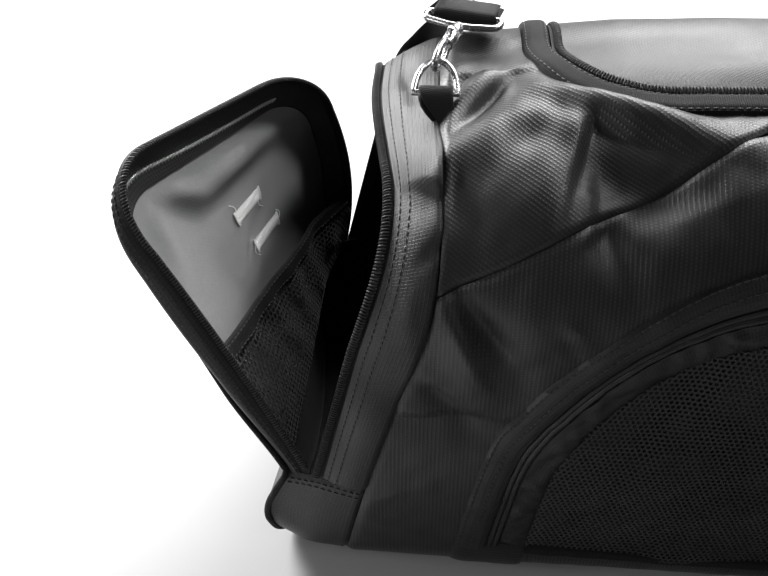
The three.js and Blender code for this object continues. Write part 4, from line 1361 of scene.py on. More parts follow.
def make_stage():
    bpy.ops.object.select_all(action="DESELECT")
    bpy.ops.mesh.primitive_plane_add(size=FLOOR_SIZE, location=(0, 0, 0))
    floor = bpy.context.object
    floor.name = "floor"
    material, tree, sockets = new_material("pale floor", Specular_IOR_Level=0.1)
    place = put(tree, "ShaderNodeTexCoord").outputs["Object"]
    noise = put(tree, "ShaderNodeTexNoise", {"Vector": place, "Scale": 3.0, "Detail": 3.0})
    shade = ramp(tree, noise.outputs[0], 0.3, 0.7)
    tree.links.new(blend_colours(tree, shade, *FLOOR_TINTS), sockets["Base Color"])
    tree.links.new(ramp(tree, noise.outputs[0], 0.3, 0.7, 0.85, 0.95), sockets["Roughness"])
    floor.data.materials.append(material)
    world = bpy.data.worlds.new("studio")
    world.use_nodes = True
    background = world.node_tree.nodes["Background"].inputs
    background["Color"].default_value = (1, 1, 1, 1)
    background["Strength"].default_value = WORLD_LIGHT
    bpy.context.scene.world = world
    for row in LAMPS:
        bpy.ops.object.light_add(type="AREA", location=row.place)
        lamp = bpy.context.object
        lamp.name = row.name
        lamp.data.size = row.size
        lamp.data.energy = row.power
        lamp.data.spread = math.radians(row.spread)
        lamp.rotation_euler = (Vector(row.target) - Vector(row.place)).to_track_quat("-Z", "Y").to_euler()
    bpy.ops.object.camera_add(location=CAMERA_EYE)
    camera = bpy.context.object
    camera.name = "camera"
    camera.data.lens = CAMERA_LENS
    camera.data.sensor_width = CAMERA_SENSOR
    camera.data.clip_start = 0.01
    back = Vector((
        math.sin(CAMERA_AZIMUTH) * math.cos(CAMERA_ELEVATION),
        -math.cos(CAMERA_AZIMUTH) * math.cos(CAMERA_ELEVATION),
        math.sin(CAMERA_ELEVATION)))
    camera.rotation_euler = (-back).to_track_quat("-Z", "Y").to_euler()
    bpy.context.scene.camera = camera
    bpy.context.scene.view_settings.view_transform = "Standard"


# Shoulder strap


def strap_half(sign):
    """Middle line of one half of the strap, with the direction of its width."""
    turn = WIRE + GAP + STRAP_THICKNESS / 2
    angle = math.pi * (1.5 - np.linspace(0, 1, 13))
    along = np.concatenate([[EYE_BAR + FOLD_BACK], EYE_BAR + turn * np.cos(angle), [EYE_BAR + FOLD_OUT]])
    lift = np.concatenate([[-turn], turn * np.sin(angle), [turn]])
    folded = hook_point(sign, 0, along, lift)
    width = hook_point(sign, 1, 0, 0) - hook_point(sign, 0, 0, 0)
    stops = np.array(STRAP_ROUTE)
    knots = way(stops[:, :2])
    samples = np.linspace(0, knots[-1], 70)
    x, turns, rise = (natural_curve(knots, stops[:, axis], samples) for axis in range(3))
    laid, out = on_cloth(-sign * x, turns, rise)
    tangent = np.gradient(laid, axis=0)
    across = sign * unit(np.cross(out, tangent))
    return np.concatenate([folded, laid]), np.concatenate([np.tile(width, (len(folded), 1)), across])


def natural_curve(knots, values, samples):
    """Smooth curve through values at knots, with slopes taken from the neighbours."""
    slopes = np.gradient(values, knots)
    place = np.clip(np.searchsorted(knots, samples, side="right") - 1, 0, len(knots) - 2)
    span = knots[place + 1] - knots[place]
    part = (samples - knots[place]) / span
    rise = values[place + 1] - values[place]
    start = slopes[place] * span
    end = slopes[place + 1] * span
    bend = part * (part - 1) * ((part - 1) * (start - rise) + part * (end - rise))
    return values[place] + rise * part + bend


def on_cloth(x, turns, lift):
    """Point above the body and the direction straight out of it, with turns as the part of the girth gone."""
    def at(along, part, rise=0.0):
        return body_point(along, part * 2 * half_girth(section_at(along)), rise)
    nudge = 1e-3
    along = at(x + nudge, turns) - at(x - nudge, turns)
    around = at(x, turns + nudge) - at(x, turns - nudge)
    return at(x, turns, lift), unit(np.cross(along, around))


def ribbon(name, points, across, width, thickness):
    """Woven strap along a line: rounded at its edges, with its own coordinates along and across it."""
    tangent = unit(np.gradient(points, axis=0))
    side = unit(across - tangent * np.sum(across * tangent, axis=1, keepdims=True))
    face = unit(np.cross(side, tangent))
    gone = way(points)
    steps = np.linspace(0, 1, len(points))
    widths = np.broadcast_to(width, len(points))
    profile = 16

    def place(part, turn):
        angle = 2 * math.pi * turn
        wide = np.sign(np.cos(angle)) * np.abs(np.cos(angle)) ** 0.35 * np.interp(part, steps, widths) / 2
        high = np.sign(np.sin(angle)) * np.abs(np.sin(angle)) ** 0.6 * thickness / 2
        middle, sideways, upright = (rows_between(part, steps, rows) for rows in (points, side, face))
        return middle + sideways * wide[..., None] + upright * high[..., None]

    def texture(part, turn):
        return np.interp(part, steps, gone), np.cos(2 * math.pi * turn) * widths[0] / 2

    piece = cloth_sheet(name, len(points) - 1, profile, place, texture)
    merge(piece, TOUCHING)
    to_mode("EDIT")
    bpy.ops.mesh.select_mode(type="EDGE")
    bpy.ops.mesh.select_all(action="DESELECT")
    bpy.ops.mesh.select_non_manifold()
    bpy.ops.mesh.edge_face_add()
    bpy.ops.mesh.select_all(action="SELECT")
    bpy.ops.mesh.normals_make_consistent(inside=False)
    to_mode("OBJECT")
    smooth(piece, 60)
    return piece


def make_strap():
    left, left_across = strap_half(-1)
    right, right_across = strap_half(1)
    points = np.concatenate([left, right[::-1][1:]])
    across = np.concatenate([left_across, right_across[::-1][1:]])
    strap = ribbon("shoulder_strap", points, across, STRAP_WIDTH, STRAP_THICKNESS)
    finish_piece(strap, "webbing", "webbing", "shoulder_strap")


# Body panels


def seam_draw(*distances):
    """How far the cloth is drawn in, from its distances to the seams around it."""
    cloth = settings().cloth
    return -cloth.seam_dip * sum(bell(distance, cloth.seam_width) for distance in distances)


def panel_detail(x, girth, seed):
    """Small folds and unevenness of a body panel, none under the bag."""
    section = section_at(x)
    front = (girth > 0) & (girth < half_girth(section))
    small = np.where(front, fold_height(SMALL_FOLDS, x, girth) + tuck_height(TUCKS, -np.abs(x), girth), 0)
    waves = [Uneven(*wave, seed + number) for number, wave in enumerate(PANEL_WAVES)]
    uneven = sum(uneven_height(wave, x, girth) for wave in waves)
    return small + uneven * smoothstep(run_at(section, girth), *WAVES_FROM)


def panel_place(along, across, low, high):
    """Place along the bag and girth on a panel between the two end seams."""
    toward = 2 * along - 1
    near = lerp(low(toward * SEAM), high(toward * SEAM), across)
    x = toward * (seam_at(near) - GAP)
    return x, lerp(low(x), high(x), across)


def level(girth):
    """Edge of a panel that runs at one girth."""
    return lambda x: girth + 0 * x


def front_high(x):
    return chevron_at(x) - GAP / 2


def upper_low(x):
    return chevron_at(x) + GAP / 2


def upper_high(x):
    return 2 * half_girth(section_at(x)) - BACK_SEAM_GIRTH


def body_panel(low, high, seed):
    """Functions that lay a body panel and its own coordinates."""
    def place(along, across):
        x, girth = panel_place(along, across, low, high)
        drawn = seam_draw(girth - low(x), high(x) - girth, seam_at(girth) - np.abs(x))
        drawn = drawn * smoothstep(np.abs(girth), *SEAMS_FROM)
        return body_point(x, girth, panel_detail(x, girth, seed) + drawn)

    def texture(along, across):
        return place(along, across)[:, 0], panel_place(along, across, low, high)[1]

    return place, texture


def cut_lid_hole(panel):
    """Delete the faces of the upper panel under the lid."""
    delete_faces(panel, lambda x, y, z: (lid_inset(x, y) > LID_HOLE) & (z > SHOULDER_HEIGHT / 2))


def cut_size(place):
    """Longest ways along and across a surface."""
    count = 60
    parts = np.linspace(0, 1, count)
    along, across = np.meshgrid(parts, parts, indexing="ij")
    points = place(along.ravel(), across.ravel()).reshape(count, count, 3)
    ways = [np.linalg.norm(np.diff(points, axis=axis), axis=2).sum(axis=axis).max() for axis in (0, 1)]
    return float(ways[0]), float(ways[1])


def cloth_piece(name, mesh, surface, finish, slot="black_cloth", nodes=None, wall=None, shape=None):
    """Sheet of cloth laid on a surface, with its wall and its finish; the size that it was cut to is measured
    but not kept.
    """
    place, texture = surface
    piece = cloth_sheet(name, *mesh, place, texture)
    if shape:
        shape(piece)
    thicken(piece, wall or settings().cloth.wall)
    smooth(piece)
    finish_piece(piece, finish, slot, *([name] if nodes is None else nodes))
    cut_size(place)


def strip_piece(name, mesh, surface, finish, slot, nodes=None):
    """Narrow strip laid on a surface, such as a tape or a hem."""
    piece = cloth_sheet(name, *mesh, *surface)
    thicken(piece, STRIP_WALL)
    smooth(piece)
    finish_piece(piece, finish, slot, *([name] if nodes is None else nodes))


def make_body_panels():
    columns = int(2 * SEAM / settings().cloth.step)
    front_low = level(BASE_GIRTH + GAP)
    back_low = level(GAP - BACK_SEAM_GIRTH)
    back_high = level(-BASE_GIRTH - GAP)
    panels = (
        ("base_panel", (120, 40), level(-BASE_GIRTH), level(BASE_GIRTH), BASE_SEED, "band", None),
        ("front_panel", (columns, 130), front_low, front_high, FRONT_SEED, "lower", None),
        ("upper_panel", (columns, 136), upper_low, upper_high, UPPER_SEED, "upper", cut_lid_hole),
        ("back_panel", (columns, 90), back_low, back_high, BACK_SEED, "lower", None),
    )
    for name, mesh, low, high, seed, finish, shape in panels:
        cloth_piece(name, mesh, body_panel(low, high, seed), finish, shape=shape)


# Left end


def band_place(across, along):
    """Place on the end band: in from the zip to the seam, and along it from the front to the back hinge."""
    seam_section = section_at(SEAM)
    seam_low = girth_at_height(seam_section, hinge_height(SEAM))
    seam_girth = lerp(seam_low, 2 * half_girth(seam_section) - seam_low, along)
    x = lerp(RIM, seam_at(seam_girth) - SEAM_LAP, across)
    section = section_at(x)
    low = girth_at_height(section, hinge_height(x) - BAND_LAP)
    return -x, lerp(low, 2 * half_girth(section) - low, along)


def lap_depth(across):
    """How far an end piece goes under the body panel that it is sewn to."""
    return LAP_DEPTH * smoothstep(across, *LAP_PARTS)


def band_surface(across, along):
    x, girth = band_place(across, along)
    puff = BAND_PUFF * np.sin(math.pi * np.clip(across, 0, 1))
    on_band = (along * BAND_LENGTH, across * BAND_WIDTH)
    uneven = uneven_height(BAND_UNEVEN, *on_band)
    folds = dent_depth(BAND_FOLDS, *on_band) + tuck_height(BAND_TUCKS, *on_band)
    ends = np.minimum(along, 1 - along) * BAND_LENGTH
    lap = np.maximum(lap_depth(across), BAND_END_DEPTH * (1 - smoothstep(ends, BAND_LAP, 2 * BAND_LAP)))
    return body_point(x, girth, puff + uneven + folds + seam_draw((1 - across) * BAND_WIDTH) - lap)


def end_at(part):
    """Distance of the end's lower edge from the middle of the bag, with part from the floor to the hinge."""
    return END + END_BOW * np.sin(math.pi * part) - END_TUCK * (1 - smoothstep(part, 0.0, END_TUCK_REACH))


def end_girths(drop):
    """Girths of the end section where its foot starts and where it meets the hinge, less a drop."""
    section = section_at(np.asarray(END))
    return section.half_depth - section.foot, girth_at_height(section, hinge_height(END) - drop)


def gusset_place(across, along):
    """Place on the hinge gusset: in from the end to the seam, and from the back hinge to the front one."""
    high = girth_at_height(section_at(SEAM), hinge_height(SEAM))
    straight = lerp(END + END_LAP, seam_at(lerp(-high, high, along)) - SEAM_LAP, across)
    top = girth_at_height(section_at(straight), hinge_height(straight))
    foot, hinge = end_girths(0.0)
    part = np.clip((np.abs(2 * along - 1) * hinge - foot) / (hinge - foot), 0, 1)
    return -straight - (1 - across) * (end_at(part) - END), lerp(-top, top, along)


def gusset_surface(across, along):
    x, girth = gusset_place(across, along)
    side = smoothstep(np.abs(girth), *GUSSET_WAVES_FROM)
    lap = lap_depth(across) * smoothstep(np.abs(girth), *GUSSET_LAP_FROM)
    drawn = seam_draw((1 - across) * GUSSET_WIDTH, along * GUSSET_LENGTH, (1 - along) * GUSSET_LENGTH)
    uneven = uneven_height(GUSSET_UNEVEN, along * GUSSET_LENGTH, across * GUSSET_DEPTH)
    return body_point(x, girth, side * (drawn + uneven) - lap)


def make_left_end():
    band = (band_surface, flat_texture(BAND_WIDTH, BAND_LENGTH))
    cloth_piece("end_band", (18, 280), band, "band")
    gusset = (gusset_surface, flat_texture(GUSSET_WIDTH, GUSSET_LENGTH))
    cloth_piece("hinge_gusset", (24, 160), gusset, "band")


# End flap


def coated_point(sideways, up, face=0.0):
    """Point on the end panel where it lies on the flap. Face runs from the inner to the outer side."""
    half = panel_half_width(up)
    part = np.clip((sideways + half) / (2 * half), 0, 1)
    belly = PANEL_BELLY * np.sin(math.pi * part) * np.sin(math.pi * up / PANEL.height)
    dented = dent_depth(DENTS, sideways, up) + uneven_height(COATED_UNEVEN, sideways, up)
    inside = smoothstep(half - np.abs(sideways), 0.0, COATED_MARGIN)
    inside = inside * smoothstep(PANEL.height - up, 0.0, COATED_MARGIN)
    return flap_point(sideways, up, panel_depth(up) + belly + dented * inside + face * WALL)


def panel_surface(across, along, face):
    """End panel: rows below the hinge stand on the end section, rows above it lie on the flap."""
    part = np.clip(along / HINGE_SHARE, 0, 1)
    edge = body_point(-end_at(part), lerp(*end_girths(GAP), part))
    sag = END_SAG * np.sin(math.pi * across) * (1 - (2 * part - 1) ** 4)
    y = lerp(edge[:, 1], -edge[:, 1], across)
    wall = np.stack([edge[:, 0] - face * WALL + sag, y, edge[:, 2]], axis=-1)
    up = lerp(FLAP_START, PANEL.height, np.clip((along - HINGE_SHARE) / (1 - HINGE_SHARE), 0, 1))
    half = panel_half_width(up)
    flap = coated_point(lerp(-half, half, across), up, face)
    return np.where((along < HINGE_SHARE)[:, None], wall, flap)


def panel_texture(across, along):
    return (across - 0.5) * 2 * PANEL.half_width, along * PANEL_LENGTH


def gusset_wall(along, across, inset=0.0):
    """Point on the wall that runs round the flap, from its zip to the end panel, drawn in by inset."""
    past = lerp(-HINGE_LAP, 1 + HINGE_LAP, along)
    puff = WALL_PUFF * np.sin(math.pi * np.asarray(across)) * bell(past - WALL_PUFF_PART, WALL_PUFF_REACH)
    inset = inset - puff
    rim = flap_point(*flap_outline(FLAP, strip_part(FLAP, past, FLAP_START), inset), ZIP_WIDTH + GAP)
    edge_across, edge_up = flap_outline(PANEL, strip_part(PANEL, past, FLAP_START), inset)
    edge = flap_point(edge_across, edge_up, panel_depth(edge_up) - GAP)
    return lerp(rim, edge, np.asarray(across)[..., None])


def bound_surface(across, part):
    """Inner side of the flap's wall, on which its bound seam runs."""
    return gusset_wall(lerp(*BOUND_REACH, part), across, BOUND_LIFT)


def end_piping_line():
    low, high = end_girths(PIPING_BEND)
    girths = np.concatenate([np.linspace(0, low, 8)[:-1], np.linspace(low, high, 30)])
    x = -end_at(np.clip((girths - low) / (high - low), 0, 1)) - WALL / 2
    front = body_point(x, girths, PIPING_OUT)
    back = body_point(x[1:], -girths[1:], PIPING_OUT)[::-1]
    across, up = flap_outline(PANEL, strip_part(PANEL, np.linspace(0, 1, 140), 2 * FLAP_START), -PIPING_OUT)
    over = flap_point(across, up, panel_depth(up) + WALL / 2)
    return np.concatenate([front, over, back])


def make_tacks():
    """Two bar tacks of pale thread, dense across and thicker at both ends, with their loose tails."""
    rows = []
    tails = []
    for number, (start, end) in enumerate(TACKS):
        def bar(parts, start=start, end=end):
            return lerp(start[0], end[0], parts), lerp(start[1], end[1], parts)

        for turn in TACK_TURNS:
            rows.append(stitch_row(coated_point, bar, math.radians(turn), TACK_PITCH, TACK_WIDTH, TACK_LIFT))
        for part, middle in ((0.0, start), (1.0, end)):
            def knot(parts, middle=middle):
                return middle[0] + KNOT_LENGTH * (parts - 0.5), middle[1] + 0 * parts

            rows.append(stitch_row(
                coated_point, knot, math.radians(KNOT_TURN), KNOT_PITCH, KNOT_WIDTH, KNOT_LIFT))
            side = 1 if (part > 0) == (number > 0) else -1
            bend = np.linspace(0, 1, 12)
            tail_across = middle[0] + side * TAIL_SWAY * np.sin(3 * bend)
            tail_up = middle[1] - (2 * part - 1) * TAIL_START + side * TAIL_LENGTH * bend
            line = coated_point(tail_across, tail_up, TAIL_FACE)
            tails.append(tube("tail", line, TAIL_RADIUS, roundness=1))
    stitches = stitch_piece("bar_tacks", rows, "pale", TACK_THREAD)
    join("bar_tacks", [stitches, *tails])


def make_flap():
    outer = (lambda across, along: panel_surface(1 - across, along, 1.0), panel_texture)
    cloth_piece("end_panel", (110, 100), outer, "lower", wall=OUTER_WALL)
    inner = (lambda across, along: panel_surface(across, along, 0.0), panel_texture)
    cloth_piece("end_panel_coating", (110, 100), inner, "coated", "coated_cloth", (), COATING_WALL)
    wall = (gusset_wall, lambda along, across: (across * WALL_WIDTH, along * outline_length(FLAP)))
    # The wall's finish is the black cloth painted lighter, as painted light
    cloth_piece("flap_gusset", (220, 10), wall, "wall")
    finish_piece(tube("end_piping", end_piping_line(), PIPING_RADIUS, closed=True),
                 "piping", "webbing", "end_piping")
    bound = first_fixed(BOUND_PART)
    line = bound_surface(*bound(np.linspace(0, 1, BOUND_POINTS)))
    # The bound seam and its stitches share the binding's grey, lightened as a painted sheen
    finish_piece(tube("bound_seam", line, BOUND_RADIUS), "bound", "webbing")
    overlock = stitch_row(
        bound_surface, bound, math.radians(60), OVERLOCK_PITCH, OVERLOCK_STITCH, OVERLOCK_LIFT)
    stitch_piece("bound_stitches", [overlock], "bound", OVERLOCK_THREAD)
    make_tacks()


# End zips


def rim_surface(part, across, lift=0.0):
    """Point on the rim's half of the end zip: along it from the front hinge, and out from the band."""
    x = RIM + RIM_GAP + across * ZIP_WIDTH
    section = section_at(x)
    low = girth_at_height(section, HINGE_HEIGHT + FLAP_START)
    high = 2 * half_girth(section) - girth_at_height(section, HINGE_HEIGHT - FLAP_START)
    return body_point(-x, lerp(low, high, part), lift)


def flap_rim(part, depth):
    """Point on the flap's half of the end zip: along it from the front hinge, and in from its free edge."""
    across, up = flap_outline(FLAP, strip_part(FLAP, part, FLAP_START), 0.0)
    return flap_point(across, up, depth)


def make_end_zips():
    def rim_tape(part, across):
        return rim_surface(part, lerp(*RIM_TAPE, across), RIM_TAPE_LIFT)

    def flap_tape(part, across):
        return flap_rim(part, lerp(0.0, FLAP_TAPE_WIDTH, across))

    texture = flat_texture(ZIP_LENGTH, TAPE_WIDTH)
    strip_piece("rim_zip", (220, 5), (rim_tape, texture), "tape", "zip_coil")
    coil("rim_coil", rim_surface, second_fixed(0.5), RIM_COIL_LIFT)
    strip_piece("flap_zip", (220, 5), (flap_tape, texture), "tape", "zip_coil")
    coil("flap_coil", flap_rim, second_fixed(FLAP_COIL_DEPTH), FLAP_COIL_LIFT)
    upright = Matrix((
        (0, 1, 0, HINGE_X - END_SLIDER_OUT),
        (0, 0, 1, FLAP.half_width + END_SLIDER_BACK),
        (-1, 0, 0, HINGE_HEIGHT + SLIDER_ROOM),
        (0, 0, 0, 1),
    ))
    make_slider("end_slider", upright)


def block(size, narrow=1.0):
    """Box with rounded edges that starts at the origin along X, narrower at its far end, its top drawn in."""
    bpy.ops.object.select_all(action="DESELECT")
    bpy.ops.mesh.primitive_cube_add(size=1, location=(0.5, 0, 0.5))
    piece = bpy.context.object
    bpy.ops.object.transform_apply(location=True, rotation=True, scale=True)
    places = vertex_places(piece.data) * np.array(size)
    places[:, 1] *= np.where(places[:, 0] > size[0] / 2, narrow, 1.0)
    move_vertices(piece.data, places)
    edit_faces(piece, [face.normal.z > 0.9 for face in piece.data.polygons])
    bpy.ops.mesh.inset(thickness=0.2 * min(size[:2]))
    bpy.ops.transform.translate(value=(0, 0, -0.15 * size[2]))
    to_mode("OBJECT")
    modifier = piece.modifiers.new("edge", "BEVEL")
    modifier.width = 0.14 * min(size)
    modifier.segments = 3
    apply_modifiers(piece)
    return piece


def make_slider(name, matrix):
    """Zip slider with its pull, placed by a matrix with X along the zip and Z out of the cloth."""
    body = block((SLIDER_LENGTH, SLIDER_WIDTH, SLIDER_HEIGHT), 0.7)
    pull = block((PULL_LENGTH, PULL_WIDTH, PULL_HEIGHT), 0.8)
    pull.data.transform(Matrix.Translation((SLIDER_LENGTH - 0.002, 0, SLIDER_HEIGHT * 0.6)))
    arch = np.linspace(0, math.pi, 14)
    bridge = np.stack([
        0.5 * SLIDER_LENGTH - 0.35 * SLIDER_LENGTH * np.cos(arch),
        0 * arch,
        0.9 * SLIDER_HEIGHT + 0.0022 * np.sin(arch)], axis=-1)
    handle = tube("bridge", bridge, 0.0009)
    piece = join(name, [body, pull, handle])
    piece.data.transform(matrix)
    smooth(piece, 40)
    finish_piece(piece, "metal", "bright_metal", name)


def surface_matrix(point, along, out):
    """Matrix at a point, with X along the zip and Z out of the cloth."""
    along = unit(np.asarray(along, float))
    side = unit(np.cross(out, along))
    columns = np.stack([along, side, np.cross(along, side), point], axis=-1)
    return Matrix([*columns.tolist(), [0, 0, 0, 1]])


# Nets


def hexagon_net(name, low, high, pitch, keep, place, finish):
    """Net of hexagons: one cell is opened and copied both ways, then cut to shape and laid on a surface."""
    nets = settings().nets
    radius = pitch / math.sqrt(3)
    bpy.ops.object.select_all(action="DESELECT")
    bpy.ops.mesh.primitive_circle_add(vertices=6, radius=radius, fill_type="NGON")
    piece = bpy.context.object
    to_mode("EDIT")
    bpy.ops.mesh.select_mode(type="FACE")
    bpy.ops.mesh.select_all(action="SELECT")
    bpy.ops.mesh.inset(thickness=nets.strand / 2)
    bpy.ops.mesh.delete(type="FACE")
    bpy.ops.mesh.select_all(action="SELECT")
    bpy.ops.mesh.duplicate()
    bpy.ops.transform.translate(value=(pitch / 2, 1.5 * radius, 0))
    to_mode("OBJECT")
    for step, span in (((pitch, 0, 0), high[0] - low[0]), ((0, 3 * radius, 0), high[1] - low[1])):
        modifier = piece.modifiers.new("rows", "ARRAY")
        modifier.use_relative_offset = False
        modifier.use_constant_offset = True
        modifier.constant_offset_displace = step
        modifier.count = int(span / max(step)) + 2
    apply_modifiers(piece)
    merge(piece, pitch / 100)
    delete_faces(piece, lambda across, up, _: ~keep(across + low[0], up + low[1]))
    flat = vertex_places(piece.data)
    across = flat[:, 0] + low[0]
    up = flat[:, 1] + low[1]
    move_vertices(piece.data, place(across, up))
    write_uvs(piece.data, np.stack([across, up], axis=-1))
    thicken(piece, nets.wall)
    smooth(piece, 40)
    piece.name = name
    piece.data.name = name
    finish_piece(piece, finish, "net", name)


def net_point(across, up, rise=0.0):
    """Point on the net in the flap, from its place across and up it. Rise runs into the bag."""
    part = np.clip(up / hem_at(across), 0, 1)
    free = np.sin(math.pi * part)
    slack = (NET_SLACK + uneven_height(NET_UNEVEN, across, up)) * free
    slack = slack + NET_WAVE * np.sin(across / NET_WAVE_LENGTH) * part
    at_back = smoothstep(across, NET_BACK_FROM * NET_HALF_WIDTH, NET_HALF_WIDTH)
    narrowed = across * (panel_half_width(up) - NET_SIDE) / NET_HALF_WIDTH + NET_SIDE * at_back
    depth = panel_depth(up) * (1 - NET_BACK_DRAW * at_back) - NET_CLEARANCE
    return flap_point(narrowed, up, depth - slack - rise)


def hem_surface(along, part):
    across = lerp(-NET_HALF_WIDTH, NET_HALF_WIDTH, along)
    up = hem_at(across) - HEM_WIDTH * (1 - part)
    return net_point(across, up, fold_rise(part, *HEM_RISE))


def make_net_pocket():
    def keep(across, up):
        below = up < hem_at(across) - HEM_WIDTH / 2
        return (np.abs(across) < NET_HALF_WIDTH) & (up > NET_START) & below

    # The flap net's finish is the net yarn painted lighter, as painted light
    hexagon_net("mesh_pocket", (-NET_HALF_WIDTH, NET_START), (NET_HALF_WIDTH, HEM_NEAR),
                settings().nets.flap_pitch, keep, net_point, "flap_net_painted_lighter")
    hem = (hem_surface, flat_texture(2 * NET_HALF_WIDTH, HEM_WIDTH))
    strip_piece("mesh_hem", (110, 8), hem, "tape", "webbing")


# Right end


def right_band_surface(across, around):
    seam_girth = around * 2 * half_girth(section_at(SEAM))
    x = lerp(seam_at(seam_girth) + GAP, END - EDGE_GAP, across)
    girth = around * 2 * half_girth(section_at(x))
    run = np.minimum(girth, 2 * half_girth(section_at(x)) - girth)
    side = smoothstep(run, *RIGHT_BAND_FROM)
    puff = RIGHT_BAND_PUFF * np.sin(math.pi * across)
    drawn = seam_draw(*[(across - seam) * RIGHT_BAND_DEPTH for seam in RIGHT_BAND_SEAMS])
    return body_point(x, girth, side * (puff + drawn + uneven_height(RIGHT_BAND_UNEVEN, x, girth)))


def right_panel_surface(across, up):
    section = section_at(np.asarray(END))
    low = section.half_depth - section.foot
    high = half_girth(section) - (section.half_depth - section.shoulder)
    girth = lerp(low, high, up)
    edge = body_point(END + 0 * girth, girth, 0.0, ())
    y = lerp(edge[:, 1], -edge[:, 1], across)
    belly = PANEL_BELLY * np.sin(math.pi * across) * np.sin(math.pi * up)
    height = half_outline(section_at(END + 0 * girth), girth)[1]
    x = along_at(END + 0 * girth, y, height) + belly + WALL
    x = x + uneven_height(RIGHT_PANEL_UNEVEN, y, height)
    return np.stack([x, y, edge[:, 2]], axis=-1)


def make_right_end():
    band = (right_band_surface, flat_texture(*RIGHT_BAND_SIZE))
    cloth_piece("right_band", (24, 300), band, "band", shape=lambda piece: merge(piece, TOUCHING))
    panel = (right_panel_surface, flat_texture(*RIGHT_PANEL_SIZE))
    cloth_piece("right_panel", (80, 90), panel, "lower")
    girth = 2 * half_girth(section_at(np.asarray(END)))
    line = body_point(END + WALL / 2, np.linspace(0, 1, 240)[:-1] * girth, PIPING_RADIUS + RIM_GAP, ())
    finish_piece(tube("right_piping", line, PIPING_RADIUS, closed=True), "piping", "webbing",
                 "right_piping")


# Front pocket


def front_point(x, girth, lift=0.0):
    """Point above the cloth of the front panel."""
    return body_point(x, girth, lift + panel_detail(x, girth, FRONT_SEED))


def pocket_surface(inset, part, lift=0.0):
    x, girth = pocket_arch(part, inset)
    return front_point(x, girth, lift)


def pocket_strip(insets, lift):
    """Functions that lay a strip of the pocket's arch, with its lift from the parts across and along it."""
    def place(across, part):
        return pocket_surface(lerp(*insets, across), part, lift(across, part))

    def texture(across, part):
        return lerp(*insets, across), part * POCKET_LENGTH

    return place, texture


def fold_rise(across, low, high, power=4):
    """Section of a folded band, low at both edges."""
    return low + (high - low) * np.sqrt(np.maximum(1 - np.abs(2 * across - 1) ** power, 0))


def band_rise(across, part):
    """Height of the folded band, drawn in along its stitches."""
    stitched = 0.0007 * (bell(across - 0.17, 0.06) + bell(across - 0.86, 0.06))
    uneven = uneven_height(POCKET_BAND_UNEVEN, part * POCKET_LENGTH, across * 0.01)
    return fold_rise(across, -0.0004, 0.0038) - stitched + uneven


def zip_rise(across, part):
    """Height of the reversed zip, whose two halves are rounded."""
    halves = np.sqrt(np.abs(np.sin(2 * math.pi * across)))
    return 0.0003 + 0.0013 * halves + 0 * part


def facing_rise(across, part):
    """Height of the facing, gathered and full in the middle."""
    gathers = 0.5 + uneven_height(FACING_GATHERS, part * POCKET_LENGTH, across * 0.014)
    full = np.sin(math.pi * np.clip(0.15 + 0.85 * across, 0, 1))
    return 0.0004 + 0.0024 * np.clip(gathers, 0, 1.2) * full


def pocket_net_point(x, girth):
    return front_point(x, girth, POCKET_NET_LIFT + uneven_height(POCKET_NET_UNEVEN, x, girth))


def tab_surface(sign):
    def place(across, up):
        x = sign * lerp(TAB_INNER, POCKET_HALF_WIDTH, across if sign > 0 else 1 - across)
        round_edge = fold_rise(across, 0, 1, 6) * fold_rise(up, 0, 1, 6)
        return front_point(x, lerp(TAB_LOW, POCKET_BOTTOM + 0.004, up), -0.0003 + 0.0031 * round_edge)

    return place, flat_texture(POCKET_HALF_WIDTH - TAB_INNER, POCKET_BOTTOM - TAB_LOW)


def make_front_pocket():
    strips = (
        ("pocket_band", (14, 300), BAND_INSETS, band_rise, "band", "black_cloth"),
        ("pocket_zip", (12, 300), POCKET_ZIP_INSETS, zip_rise, "slick", "zip_coil"),
        ("pocket_facing", (12, 320), FACING_INSETS, facing_rise, "band", "black_cloth"),
    )
    for name, mesh, insets, rise, finish, slot in strips:
        strip_piece(name, mesh, pocket_strip(insets, rise), finish, slot)
    width = POCKET_HALF_WIDTH - POCKET_NET_INSET
    top = POCKET_SPRING + POCKET_RISE - POCKET_NET_INSET

    def keep(x, girth):
        share = np.sqrt(np.maximum(1 - (x / width) ** 2, 0))
        arch = POCKET_SPRING + (top - POCKET_SPRING) * share
        return (np.abs(x) < width) & (girth > POCKET_BOTTOM) & (girth < arch + 0.002)

    # The front net's finish is the net yarn painted darker, as painted shade
    hexagon_net("pocket_mesh", (-width, POCKET_BOTTOM), (width, top), settings().nets.pitch, keep,
                pocket_net_point, "net")

    def hem(along, up):
        x = lerp(-TAB_INNER - 0.002, TAB_INNER + 0.002, along)
        girth = POCKET_BOTTOM - POCKET_HEM_LAP + POCKET_HEM_WIDTH * up
        return front_point(x, girth, fold_rise(up, -0.0002, 0.0026))

    texture = flat_texture(2 * TAB_INNER, POCKET_HEM_WIDTH)
    strip_piece("pocket_hem", (160, 8), (hem, texture), "tape", "webbing", ())
    for sign, name in ((-1, "pocket_tab_left"), (1, "pocket_tab_right")):
        strip_piece(name, (24, 14), tab_surface(sign), "band", "black_cloth")
    x, girth = (float(value) for value in pocket_arch(POCKET_SLIDER_PART, sum(POCKET_ZIP_INSETS) / 2))
    here = front_point(x, girth, SLIDER_LIFT)
    down = front_point(x, girth - 0.01, SLIDER_LIFT) - here
    make_slider("pocket_slider", surface_matrix(here, down, (0.0, -1.0, 0.0)))


# Lid


def lid_surface(part, inset, lift=0.0):
    x, y = lid_outline(part, inset)
    return top_point(x, y, lift)


def lid_strip(insets, lift):
    def place(part, across):
        return lid_surface(part, lerp(*insets, across), lift(across, part))

    def texture(part, across):
        return part * LID_LENGTH, lerp(*insets, across)

    return place, texture


